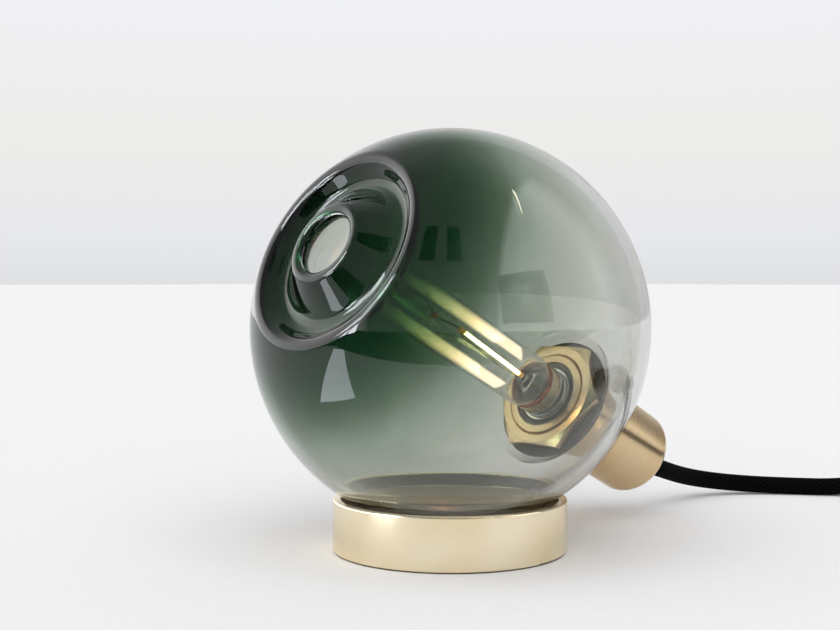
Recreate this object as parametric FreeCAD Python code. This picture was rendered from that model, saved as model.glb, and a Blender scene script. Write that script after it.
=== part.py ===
import FreeCAD, Part
import math
import os

V = FreeCAD.Vector

# Glass table lamp: a thick glass globe that rests in a brass ring, with a brass lampholder
# through its neck, a tubular bulb inside, and a mains cord with a switch and a plug.
# Millimetres, +Z up. The origin is on the table at the centre of the base ring.
# The globe and all that it carries are drawn with the lamp's own axis along +X and the
# globe's centre at the origin, then tipped and lifted into the ring.

# Base ring, its soft seat and its felt foot; the gap is from the ring's bore to the foot of the globe's neck
neck_ring_gap = 5.17
ring_height = 25.0
ring_wall = 4.0
ring_lift = 0.6
ring_edge = 0.7
ledge_width = 6.0
ledge_thickness = 3.0
ledge_depth = 8.5
seat_depth = 0.6
seat_gap = 0.3
foot_width = 2.6
foot_thickness = 1.2

# Globe
globe_radius = 95.0
glass_wall = 5.0
lamp_tilt_deg = 27.0
seat_overhang = 2.6
rim_foot_r = 51.75
rim_reach = 7.5
rim_fillet = 5.9
dimple_depth = 20.5
dimple_outer_r = 38.5
dimple_inner_r = 32.0
dimple_fillet = 6.0
lip_radius = 4.0
lip_ring_r = 18.0
lip_depth = 11.0
lip_lean_share = 0.786
trough_set_in = 2.0
trough_fillet = 8.0
inner_step_share = 0.6
inner_turn_share = 0.25
neck_hole_r = 28.75
neck_drop = 1.5
neck_land_r = 33.5
neck_foot_r = 41.65
neck_step = 2.5
neck_fillet = 2.4

# Neck stack: gaskets, nut and threaded nose
gasket_thickness = 1.5
gasket_gap = 0.2
nut_flats = 56.0
nut_thickness = 7.0
nut_chamfer = 2.2
nose_r = 22.0
nose_bore_r = 19.6
nose_proud = 1.0
thread_gap = 0.05
flange_r = 31.5
flange_thickness = 3.0
spigot_length = 8.0

# Lampholder barrel and the cord's way out of it
barrel_r = 23.0
barrel_wall = 2.4
barrel_length = 66.0
barrel_rear_wall = 4.0
barrel_rear_fillet = 8.0
barrel_inner_fillet = 3.0
bush_r = 7.2
bush_flange_r = 9.0
bush_flange = 2.0
bush_collar_r = 8.2
bush_collar = 1.5
cord_r = 5.0

# Lampholder insert, held between a lip in the nose and a ring behind it
nose_lip_r = 18.2
nose_lip = 2.0
socket_bore_depth = 18.0
socket_floor = 5.0
socket_block_length = 9.0
socket_block_height = 13.0
socket_rim_r = 16.6
socket_rim = 1.2
retainer_thickness = 2.0
retainer_r = 15.6
retainer_notch = 3.0
notch_depth_share = 0.25
shell_sheet = 0.5
shell_rise = 1.4
cap_gap = 0.35
shell_gap = 0.1
strip_width = 6.0
strip_sheet = 0.6
strip_gap = 0.2
strip_spring = 4.0
strip_bend_share = 0.25
contact_rise = 4.7
terminal_r = 3.0
terminal_head = 2.0
terminal_shank_r = 1.6
terminal_offset = 8.0

# Cord grip and conductors inside the barrel
stub_length = 20.5
clamp_setback = 12.5
clamp_length = 7.0
clamp_half_width = 13.0
clamp_height = 8.0
clamp_split = 0.2
clamp_foot_low = 13.0
clamp_foot_thickness = 3.4
clamp_foot_half_width = 9.0
clamp_screw_offset = 9.4
clamp_screw_r = 1.6
clamp_head_r = 2.9
clamp_head = 1.8
wire_r = 1.2
wire_spread = 2.4
wire_run = 9.0
earth_offset = 14.0
earth_head_r = 3.0
earth_head = 2.2
earth_shank_r = 1.6
earth_depth = 2.5

# Bulb: clear tube, screw cap, one filament
tube_r = 14.0
tube_wall = 0.8
tube_length = 117.0
tube_far_fillet = 11.5
tube_shoulder = 5.0
tube_shoulder_fillet = 4.0
tube_throat_r = 11.9
cap_r = 13.25
cap_sheet = 0.45
cap_length = 27.0
cap_taper = 4.5
cap_tail_r = 9.4
cap_tail = 1.0
cement_proud = 0.8
cement_depth = 3.0
insulator_depth = 1.8
insulator_face_r = 6.6
tip_r = 4.8
tip_height = 1.4
tip_round_share = 0.8
tip_gap = 0.05
stem_length = 9.5
stem_neck_r = 3.2
stem_neck_length = 5.0
stem_wall = 1.4
filament_r = 0.95
filament_gap = 2.0
filament_length = 47.1
filament_near_rise = 0.9
filament_far_rise = 2.7
clip_r = 1.35
clip_length = 2.6
thin_wire_r = 0.35
return_offset = 6.4
lead_spread = 1.5
support_length = 30.4
support_rise = 6.0
bead_offset = 20.4
bead_r = 1.8
driver_board = 1.4
driver_depth = 8.0
driver_block_r = 7.5
driver_block_length = 9.0

# Cord outside the lamp: the visible stretch follows places chosen by hand on the table
cord_first_run = 12.0
cord_route = [
    (177.0, 2.6, 19.9),
    (196.0, 5.2, 14.8),
    (214.0, 5.4, 10.8),
    (232.5, 0.2, 7.5),
    (249.5, -11.6, 5.5),
    (264.5, -30.4, 5.0),
    (277.0, -47.2, 5.0),
]
away_heading_deg = -66.0
switch_x = 290.1
switch_y = -70.15
cord_bite = 5.0
cord_end_run = 12.5
cord_step_run = 14.0
coil_outer_r = 61.0
coil_pitch = 10.6
coil_inward_halves = 4
coil_leave_deg = 126.0

# In-line switch
switch_length = 56.0
switch_width = 28.0
switch_height = 21.0
switch_cord_z = 7.6
switch_wall = 2.2
switch_corner = 11.0
switch_edge = 3.0
switch_inner_edge = 1.5
rocker_reach = 10.5
rocker_width = 11.0
rocker_gap = 0.4
rocker_swing_deg = 16.0
rocker_centre_proud = 0.6
rocker_below_pin = 2.6
rocker_pin_r = 1.25
rocker_pin_gap = 0.35
rocker_pin_drop = 4.5
cheek_length = 10.0
cheek_below_pin = 3.5
switch_screw_x = 12.0
switch_screw_y = 9.2
switch_screw_r = 1.5
switch_screw_head_r = 2.7
switch_screw_head = 1.6
switch_screw_recess = 0.4
switch_screw_reach = 14.0
boss_r = 3.1
contact_sheet = 0.8
contact_width = 5.0
contact_offset = 7.5
contact_foot = 5.0
contact_gap = 0.5
conductor_y = 4.4
conductor_z = 4.6
conductor_run = 5.0
conductor_drop_run = 8.0

# Plug
plug_r = 18.4
plug_floor_gap = 0.2
plug_front_length = 12.0
plug_flare_length = 4.0
plug_grip_r = 13.0
plug_grip_length = 26.0
plug_front_fillet = 1.5
plug_rear_fillet = 4.5
plug_face_r = 15.0
plug_face_depth = 2.0
plug_pin_r = 2.4
plug_pin_length = 19.0
plug_pin_offset = 9.5
plug_pin_root = 8.0
plug_pin_tip = 1.6
earth_socket_r = 2.6
earth_socket_offset = 10.0
earth_socket_depth = 12.0
earth_clip_width = 4.2
earth_clip_thickness = 2.4
earth_clip_length = 12.0
earth_clip_inset = 0.2
relief_length = 30.0
relief_front_r = 8.4
relief_rear_r = 6.4
relief_edge = 1.0

# Edge roundings as shares of the size they soften
soft_edge_share = 0.33
fine_edge_share = 0.22

# Bends take this share of their shorter run, so that a straight piece is left between them
bend_share = 0.45

# One overrun for every cut, and the distance under which two points are one
overrun = 2.0
touch = 1e-6

tilt = math.radians(lamp_tilt_deg)
neck_angle = math.asin(neck_foot_r / globe_radius)
ring_bore_r = globe_radius * math.cos(tilt + neck_angle) - neck_ring_gap
ring_radius = ring_bore_r + ring_wall
seat_touch_r = ring_bore_r - seat_overhang
seat_top_z = ring_height - seat_depth
seat_sphere_r = globe_radius + seat_gap
neck_land_s = globe_radius - neck_drop
dimple_s = globe_radius - dimple_depth
lip_s = globe_radius - lip_depth
globe_z = seat_top_z + math.sqrt(seat_sphere_r ** 2 - seat_touch_r ** 2)
inner_radius = globe_radius - glass_wall
neck_inner_s = neck_land_s - glass_wall
nut_back_s = neck_inner_s - gasket_thickness
nut_front_s = nut_back_s - nut_thickness
flange_s = neck_land_s + gasket_thickness
barrel_s = flange_s + flange_thickness
barrel_end_s = barrel_s + barrel_length
barrel_bore_r = barrel_r - barrel_wall
barrel_floor_s = barrel_end_s - barrel_rear_wall
cord_exit_s = barrel_end_s + bush_collar
shell_r = cap_r + cap_gap
socket_bore_r = shell_r + shell_sheet + shell_gap
nose_start_s = nut_front_s - nose_proud
socket_front_s = nose_start_s + nose_lip
socket_floor_s = socket_front_s + socket_bore_depth
socket_back_s = socket_floor_s + socket_floor
block_end_s = socket_back_s + socket_block_length
contact_s = socket_floor_s - contact_rise
cap_end_s = contact_s - seat_gap
cap_rim_s = cap_end_s - cap_length
tube_far_s = cap_rim_s - tube_length
tube_shoulder_s = cap_rim_s - tube_shoulder
stem_top_s = cap_rim_s - stem_length
filament_near_s = stem_top_s - filament_gap
filament_far_s = filament_near_s - filament_length
support_end_s = filament_far_s - support_length
bead_s = filament_far_s - bead_offset
driver_s = cap_rim_s + driver_depth
stub_start_s = cord_exit_s - stub_length
clamp_start_s = barrel_floor_s - clamp_setback
cord_hole_r = cord_r + thread_gap
heading = math.radians(away_heading_deg)
plug_axis_z = plug_r + plug_floor_gap


def unit(v):
    return V(v).multiply(1.0 / v.Length)


def fillet_corners(corners):
    """Edges of a closed outline whose corners are (x, y) or (x, y, fillet radius)."""
    count = len(corners)
    points = [V(c[0], c[1], 0) for c in corners]
    radii = [c[2] if len(c) > 2 else 0.0 for c in corners]
    edges = []
    last_end = None
    first_start = None
    for i in range(count):
        before, here, after = points[i - 1], points[i], points[(i + 1) % count]
        into = unit(here - before)
        out = unit(after - here)
        start, end, arc = here, here, None
        turn = into.getAngle(out)
        if radii[i] > 0 and turn > touch:
            reach = radii[i] * math.tan(turn / 2)
            start = here - into * reach
            end = here + out * reach
            middle = unit(out - into)
            to_centre = radii[i] / math.cos(turn / 2)
            arc = Part.Arc(start, here + middle * (to_centre - radii[i]), end)
        if last_end is not None and (start - last_end).Length > touch:
            edges.append(Part.LineSegment(last_end, start).toShape())
        if first_start is None:
            first_start = start
        if arc is not None:
            edges.append(arc.toShape())
        last_end = end
    if (first_start - last_end).Length > touch:
        edges.append(Part.LineSegment(last_end, first_start).toShape())
    return edges


def turned(corners):
    """Solid of revolution about X, from corners (place along X, radius, fillet radius)."""
    face = Part.Face(Part.Wire(fillet_corners(corners)))
    return face.revolve(V(0, 0, 0), V(1, 0, 0), 360)


def turned_upright(corners):
    """Solid of revolution about Z, from corners (radius, height, fillet radius)."""
    face = Part.Face(Part.Wire(fillet_corners(corners)))
    face.rotate(V(0, 0, 0), V(1, 0, 0), 90)
    return face.revolve(V(0, 0, 0), V(0, 0, 1), 360)


def tube_along_x(outer_r, inner_r, start, end):
    outer = Part.makeCylinder(outer_r, end - start, V(start, 0, 0), V(1, 0, 0))
    inner = Part.makeCylinder(inner_r, end - start + 2 * overrun, V(start - overrun, 0, 0), V(1, 0, 0))
    return outer.cut(inner)


def rod(start, end, radius):
    return Part.makeCylinder(radius, (end - start).Length, start, end - start)


def tangent_route(points, printed_name=""):
    """Straight runs joined by tangent arcs, each as large as its two runs allow."""
    edges = []
    radii = []
    last = points[0]
    for i in range(1, len(points) - 1):
        before, here, after = points[i - 1], points[i], points[i + 1]
        into, out = unit(here - before), unit(after - here)
        turn = into.getAngle(out)
        reach = bend_share * min((here - before).Length, (after - here).Length)
        radius = reach / math.tan(turn / 2)
        radii.append(radius)
        start, end = here - into * reach, here + out * reach
        middle = unit(out - into)
        apex = here + middle * (radius / math.cos(turn / 2) - radius)
        if (start - last).Length > touch:
            edges.append(Part.LineSegment(last, start).toShape())
        edges.append(Part.Arc(start, apex, end).toShape())
        last = end
    edges.append(Part.LineSegment(last, points[-1]).toShape())
    if printed_name:
        print(printed_name, "arc radii:", [round(r, 1) for r in radii])
    return Part.Wire(edges)


def pipe(wire, radius):
    """Round bar along a wire."""
    first = wire.OrderedEdges[0]
    start = first.valueAt(first.FirstParameter)
    section = Part.Wire(Part.makeCircle(radius, start, first.tangentAt(first.FirstParameter)))
    return wire.makePipeShell([section], True, False)


def report_cord(name, solid, wire):
    """Print how the bar's volume compares with its section times its length."""
    share = solid.Volume / (math.pi * cord_r ** 2 * wire.Length)
    print(name, "length", round(wire.Length, 1), "volume share", round(share, 4))


def bent_strip(points, sheet, width):
    """Sheet strip whose middle follows points (x, y), as wide as given across Z."""
    middle = [V(p[0], p[1], 0) for p in points]
    left, right = [], []
    for i, here in enumerate(middle):
        into = unit(here - middle[i - 1]) if i else unit(middle[1] - here)
        out = unit(middle[i + 1] - here) if i + 1 < len(middle) else into
        across = unit(V(-into.y - out.y, into.x + out.x, 0))
        reach = sheet / 2 / across.dot(V(-into.y, into.x, 0))
        left.append(here + across * reach)
        right.append(here - across * reach)
    outline = left + right[::-1] + left[:1]
    face = Part.Face(Part.makePolygon(outline))
    face.translate(V(0, 0, -width / 2))
    return face.extrude(V(0, 0, width))


def placed(shape):
    """From the lamp's own axis to its place in the ring."""
    moved = shape.copy()
    moved.rotate(V(0, 0, 0), V(0, 1, 0), lamp_tilt_deg)
    moved.translate(V(0, 0, globe_z))
    return moved


def lamp_point(s, y, rise):
    """Real place of a point given along the lamp's axis, across it and above it."""
    return V(
        s * math.cos(tilt) + rise * math.sin(tilt),
        y,
        globe_z - s * math.sin(tilt) + rise * math.cos(tilt),
    )


def make_base():
    ledge_top = seat_top_z - ledge_depth + ledge_thickness
    ledge_r = ring_bore_r - ledge_width
    groove_out = ring_radius - (ring_wall - foot_width) / 2
    groove_in = groove_out - foot_width
    base_ring = turned_upright([
        (ring_bore_r, ring_lift),
        (groove_in, ring_lift),
        (groove_in, foot_thickness),
        (groove_out, foot_thickness),
        (groove_out, ring_lift),
        (ring_radius, ring_lift, ring_edge),
        (ring_radius, ring_height, ring_edge),
        (ring_bore_r, ring_height, ring_edge),
        (ring_bore_r, ledge_top),
        (ledge_r, ledge_top, ring_edge),
        (ledge_r, ledge_top - ledge_thickness, ring_edge),
        (ring_bore_r, ledge_top - ledge_thickness),
    ])
    sphere = Part.makeSphere(seat_sphere_r, V(0, 0, globe_z))
    seat_blank = turned_upright([
        (ring_bore_r, ledge_top),
        (ring_bore_r, seat_top_z),
        (seat_touch_r - ledge_width, seat_top_z),
        (seat_touch_r - ledge_width, ledge_top),
    ])
    ledge_side = Part.makeCylinder(ledge_r, ring_height + overrun, V(0, 0, 0), V(0, 0, 1))
    seat_ring = seat_blank.cut(sphere).cut(ledge_side)
    foot_ring = turned_upright([
        (groove_in, 0),
        (groove_out, 0),
        (groove_out, foot_thickness),
        (groove_in, foot_thickness),
    ])
    return {"base_ring": base_ring, "seat_ring": seat_ring, "foot_ring": foot_ring}


def on_circle(radius, angle):
    return V(-radius * math.cos(angle), radius * math.sin(angle), 0)


def corner_edges(before, corners, after):
    """Open chain of edges from one point to another, through filleted corners."""
    points = [before] + [V(c[0], c[1], 0) for c in corners] + [after]
    radii = [0.0] + [c[2] if len(c) > 2 else 0.0 for c in corners] + [0.0]
    edges = []
    last = before
    for i in range(1, len(points) - 1):
        into, out = unit(points[i] - points[i - 1]), unit(points[i + 1] - points[i])
        turn = into.getAngle(out)
        if radii[i] > 0:
            reach = radii[i] * math.tan(turn / 2)
            start, end = points[i] - into * reach, points[i] + out * reach
            apex = points[i] + unit(out - into) * (radii[i] / math.cos(turn / 2) - radii[i])
            if (start - last).Length > touch:
                edges.append(Part.LineSegment(last, start).toShape())
            edges.append(Part.Arc(start, apex, end).toShape())
            last = end
        else:
            edges.append(Part.LineSegment(last, points[i]).toShape())
            last = points[i]
    edges.append(Part.LineSegment(last, after).toShape())
    return edges


def make_globe():
    """Blown shell: a sphere, a dimple with a rolled hole at one pole, a raised neck at the other."""
    rim = math.asin(rim_foot_r / globe_radius)
    neck = math.pi - neck_angle
    lean = V(-math.sqrt(1 - lip_lean_share ** 2), -lip_lean_share, 0)
    side = V(-lip_lean_share, math.sqrt(1 - lip_lean_share ** 2), 0)
    lip_centre = V(-lip_s, lip_ring_r, 0)
    lip_top = lip_centre + (lean + side) * lip_radius
    lip_foot = lip_centre + (lean - side) * lip_radius

    rim_start = on_circle(globe_radius, rim)
    rim_corner = rim_start - V(math.sin(rim), math.cos(rim), 0) * rim_reach
    flank = V(-dimple_s, dimple_outer_r, 0)
    outer_dimple = corner_edges(rim_start, [
        (rim_corner.x, rim_corner.y, rim_fillet),
        (flank.x, flank.y, dimple_fillet),
        (-dimple_s, dimple_inner_r, trough_fillet),
        (lip_top.x, lip_top.y, lip_radius),
    ], (lip_top + lip_foot) * 0.5)

    inner_s = dimple_s - glass_wall
    along = unit(flank - rim_corner)
    inward = V(-along.y, along.x, 0)
    inner_flank = flank + inward * glass_wall
    to_sphere = inner_flank.dot(along) * -1
    off_line = (inner_flank + along * to_sphere).Length
    reach_back = math.sqrt(inner_radius ** 2 - off_line ** 2) - to_sphere
    inner_rim = inner_flank - along * reach_back
    inner_bottom = inner_flank + along * ((-inner_s - inner_flank.x) / along.x)
    inner_trough_r = dimple_inner_r - trough_set_in
    inner_dimple = corner_edges((lip_top + lip_foot) * 0.5, [
        (lip_foot.x, lip_foot.y, lip_radius),
        (-inner_s, inner_trough_r, trough_fillet + glass_wall),
        (inner_bottom.x, inner_bottom.y, dimple_fillet + glass_wall / 2),
    ], inner_rim)

    step = V(math.sin(neck), math.cos(neck), 0) * neck_step
    neck_start = on_circle(globe_radius, neck)
    neck_corner = neck_start + step
    inner_neck_angle = neck + math.asin(glass_wall / 2 / globe_radius) * inner_turn_share
    inner_start = on_circle(inner_radius, inner_neck_angle)
    inner_corner = inner_start + step * inner_step_share
    neck_edges = corner_edges(inner_start, [
        (inner_corner.x, inner_corner.y, neck_fillet),
        (neck_inner_s, neck_land_r + gasket_gap, neck_fillet * soft_edge_share),
        (neck_inner_s, neck_hole_r),
        (neck_land_s, neck_hole_r),
        (neck_land_s, neck_land_r, neck_fillet),
        (neck_corner.x, neck_corner.y, neck_fillet),
    ], neck_start)

    outer_middle = on_circle(globe_radius, (rim + neck) / 2)
    outer_arc = Part.Arc(neck_start, outer_middle, rim_start).toShape()
    inner_rim_angle = math.atan2(inner_rim.y, -inner_rim.x)
    inner_middle = on_circle(inner_radius, (inner_rim_angle + inner_neck_angle) / 2)
    inner_arc = Part.Arc(inner_rim, inner_middle, inner_start).toShape()
    wire = Part.Wire([outer_arc] + outer_dimple + inner_dimple + [inner_arc] + neck_edges)
    glass = Part.Face(wire).revolve(V(0, 0, 0), V(1, 0, 0), 360)
    return {"glass_globe": placed(glass)}


def make_neck():
    """Nut, gaskets and threaded nose that clamp the neck of the globe."""
    across = nut_flats / math.cos(math.pi / 6)
    hexagon = Part.Wire(Part.makePolygon([
        V(0, across / 2 * math.cos(math.pi / 3 * i), across / 2 * math.sin(math.pi / 3 * i))
        for i in range(7)
    ]))
    prism = Part.Face(hexagon).extrude(V(nut_thickness, 0, 0))
    corner_cut = turned([
        (0, 0),
        (0, nut_flats / 2 - nut_chamfer * soft_edge_share),
        (nut_chamfer, across / 2),
        (nut_thickness - nut_chamfer * fine_edge_share, across / 2),
        (nut_thickness, nut_flats / 2),
        (nut_thickness, 0),
    ])
    bore = turned([
        (-overrun, 0),
        (-overrun, nose_r + nut_chamfer / 2 + overrun),
        (nut_chamfer / 2, nose_r + thread_gap),
        (nut_thickness + overrun, nose_r + thread_gap),
        (nut_thickness + overrun, 0),
    ])
    nut = prism.common(corner_cut).cut(bore)
    nut.translate(V(nut_front_s, 0, 0))

    gasket_r = nose_r + gasket_gap
    inner_gasket = tube_along_x(neck_land_r - 2 * gasket_gap, gasket_r, nut_back_s, neck_inner_s)
    spigot_r = neck_hole_r - gasket_gap
    outer_gasket = turned([
        (neck_inner_s + gasket_gap, gasket_r),
        (neck_inner_s + gasket_gap, spigot_r),
        (neck_land_s, spigot_r),
        (neck_land_s, flange_r),
        (flange_s, flange_r),
        (flange_s, gasket_r),
    ])
    spigot_out = barrel_bore_r - thread_gap
    nose = turned([
        (socket_front_s, nose_bore_r),
        (socket_front_s, nose_lip_r),
        (nose_start_s, nose_lip_r),
        (nose_start_s, nose_r, nose_proud / 2),
        (flange_s, nose_r),
        (flange_s, flange_r, flange_thickness * fine_edge_share),
        (barrel_s, flange_r, flange_thickness * soft_edge_share),
        (barrel_s, spigot_out),
        (barrel_s + spigot_length, spigot_out),
        (barrel_s + spigot_length, nose_bore_r),
    ])
    return {
        "neck_nut": placed(nut),
        "inner_gasket": placed(inner_gasket),
        "outer_gasket": placed(outer_gasket),
        "nose_sleeve": placed(nose),
    }


def make_barrel():
    barrel = turned([
        (barrel_s, barrel_bore_r),
        (barrel_s, barrel_r, barrel_wall * fine_edge_share),
        (barrel_end_s, barrel_r, barrel_rear_fillet),
        (barrel_end_s, bush_r, barrel_wall * fine_edge_share),
        (barrel_floor_s, bush_r),
        (barrel_floor_s, barrel_bore_r, barrel_inner_fillet),
    ])
    earth_tip = V(barrel_floor_s + earth_depth, 0, earth_offset)
    barrel = barrel.cut(rod(V(barrel_floor_s - overrun, 0, earth_offset), earth_tip, earth_shank_r))
    bush = turned([
        (barrel_floor_s - bush_flange, cord_hole_r),
        (barrel_floor_s - bush_flange, bush_flange_r, bush_flange * fine_edge_share),
        (barrel_floor_s, bush_flange_r),
        (barrel_floor_s, bush_r),
        (barrel_end_s, bush_r),
        (barrel_end_s, bush_collar_r),
        (cord_exit_s, bush_collar_r, bush_collar / 2),
        (cord_exit_s, cord_hole_r),
    ])
    return {"lampholder_barrel": placed(barrel), "cord_bush": placed(bush)}


def make_socket():
    """Insulating insert with its screw shell, contacts, terminals and retaining ring."""
    side_y = terminal_offset + terminal_r
    body = turned([
        (socket_front_s, socket_rim_r, socket_rim * fine_edge_share),
        (socket_front_s, nose_bore_r),
        (socket_back_s, nose_bore_r),
        (socket_back_s, 0),
        (socket_floor_s, 0),
        (socket_floor_s, socket_bore_r),
        (socket_front_s + 2 * socket_rim, socket_bore_r, socket_rim),
    ])
    block_corner = V(socket_back_s, -side_y, -socket_block_height / 2)
    block = Part.makeBox(socket_block_length, 2 * side_y, socket_block_height, block_corner)
    body = body.fuse(block).removeSplitter()
    slot_depth = strip_sheet + 2 * strip_gap
    slot_width = strip_width + 2 * strip_gap
    for side in (-1, 1):
        slot_y = side * (side_y + strip_sheet / 2) - slot_depth / 2
        body = body.cut(Part.makeBox(
            socket_back_s - socket_floor_s + 2 * overrun, slot_depth, slot_width,
            V(socket_floor_s - overrun, slot_y, -slot_width / 2),
        ))

    shell = turned([
        (socket_front_s - shell_rise, shell_r),
        (socket_front_s - shell_rise, shell_r + 2 * shell_sheet),
        (socket_front_s - shell_rise + shell_sheet, shell_r + 2 * shell_sheet),
        (socket_front_s - shell_rise + 2 * shell_sheet, shell_r + shell_sheet),
        (socket_floor_s, shell_r + shell_sheet),
        (socket_floor_s, shell_r),
    ])

    strip_y = side_y + strip_sheet / 2
    floor_line = socket_floor_s - strip_sheet / 2
    over_line = block_end_s + strip_sheet / 2
    contact_line = contact_s + strip_sheet / 2
    hole_inner = terminal_offset - terminal_r
    centre_contact = bent_strip([
        (contact_line, strip_spring),
        (contact_line, -strip_spring * strip_bend_share),
        (floor_line, -strip_spring),
        (floor_line, -strip_y),
        (over_line, -strip_y),
        (over_line, -hole_inner),
    ], strip_sheet, strip_width)
    tab_r = math.sqrt((shell_r - shell_gap) ** 2 - (strip_width / 2) ** 2)
    shell_contact = bent_strip([
        (floor_line, tab_r),
        (floor_line, strip_y),
        (over_line, strip_y),
        (over_line, hole_inner),
    ], strip_sheet, strip_width)

    screws = []
    head_s = block_end_s + strip_sheet
    for y in (-terminal_offset, terminal_offset):
        shank = rod(V(socket_back_s, y, 0), V(head_s, y, 0), terminal_shank_r)
        head = rod(V(head_s, y, 0), V(head_s + terminal_head, y, 0), terminal_r)
        slot = Part.makeBox(terminal_head / 2, 3 * terminal_r, strip_sheet, V(
            head_s + terminal_head / 2, y - 3 * terminal_r / 2, -strip_sheet / 2))
        screws.append(shank.fuse(head).removeSplitter().cut(slot))
        body = body.cut(shank)
        centre_contact = centre_contact.cut(shank)
        shell_contact = shell_contact.cut(shank)

    retainer = tube_along_x(nose_bore_r, retainer_r, socket_back_s, socket_back_s + retainer_thickness)
    for side in (-1, 1):
        notch = Part.makeBox(retainer_thickness, retainer_notch, retainer_notch, V(
            socket_back_s + retainer_thickness / 2, -retainer_notch / 2,
            side * retainer_r - retainer_notch / 2 + side * retainer_notch * notch_depth_share))
        retainer = retainer.cut(notch)
    return {
        "socket_body": placed(body),
        "screw_shell": placed(shell),
        "centre_contact": placed(centre_contact),
        "shell_contact": placed(shell_contact),
        "terminal_screws": placed(Part.makeCompound(screws)),
        "retaining_ring": placed(retainer),
    }


def make_cord_grip():
    """Two clamp halves round the cord's end in the barrel, their screws and the earth screw."""
    stub_line = V(stub_start_s, 0, 0), V(cord_exit_s, 0, 0)
    stub = rod(*stub_line, cord_r)
    width = 2 * clamp_half_width
    upper = Part.makeBox(clamp_length, width, clamp_height - clamp_split, V(
        clamp_start_s, -clamp_half_width, clamp_split))
    lower = Part.makeBox(clamp_length, width, clamp_foot_low - clamp_split, V(
        clamp_start_s, -clamp_half_width, -clamp_foot_low))
    foot = Part.makeBox(clamp_setback, 2 * clamp_foot_half_width, clamp_foot_thickness, V(
        clamp_start_s, -clamp_foot_half_width, -clamp_foot_low))
    lower = lower.fuse(foot).removeSplitter().cut(stub)
    upper = upper.cut(stub)
    screws = []
    middle_s = clamp_start_s + clamp_length / 2
    for y in (-clamp_screw_offset, clamp_screw_offset):
        shank = rod(V(middle_s, y, -clamp_height), V(middle_s, y, clamp_height), clamp_screw_r)
        head = rod(V(middle_s, y, clamp_height), V(middle_s, y, clamp_height + clamp_head), clamp_head_r)
        screws.append(shank.fuse(head).removeSplitter())
        upper = upper.cut(shank)
        lower = lower.cut(shank)
    earth_face = barrel_floor_s - earth_head
    earth_seat = V(barrel_floor_s, 0, earth_offset)
    earth_shank = rod(earth_seat, earth_seat + V(earth_depth, 0, 0), earth_shank_r)
    earth_cap = rod(V(earth_face, 0, earth_offset), earth_seat, earth_head_r)
    earth_screw = earth_shank.fuse(earth_cap).removeSplitter()

    terminal_face = block_end_s + strip_sheet + terminal_head
    wires = {}
    for name, side in (("live_wire", -1), ("neutral_wire", 1)):
        wires[name] = pipe(tangent_route([
            V(stub_start_s, side * wire_spread, 0),
            V(stub_start_s - wire_run, side * wire_spread, 0),
            V(terminal_face + wire_run, side * terminal_offset, 0),
            V(terminal_face, side * terminal_offset, 0),
        ]), wire_r)
    turn_s = stub_start_s - wire_run
    half_rise = (earth_offset - wire_spread) / 2
    wires["earth_wire"] = pipe(tangent_route([
        V(stub_start_s, 0, wire_spread),
        V(turn_s, 0, wire_spread),
        V(turn_s - half_rise, 0, wire_spread + half_rise),
        V(turn_s, 0, earth_offset),
        V(earth_face, 0, earth_offset),
    ]), wire_r)
    made = {
        "cord_stub": stub,
        "clamp_lower": lower,
        "clamp_upper": upper,
        "clamp_screws": Part.makeCompound(screws),
        "earth_screw": earth_screw,
    }
    made.update(wires)
    return {name: placed(shape) for name, shape in made.items()}


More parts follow.
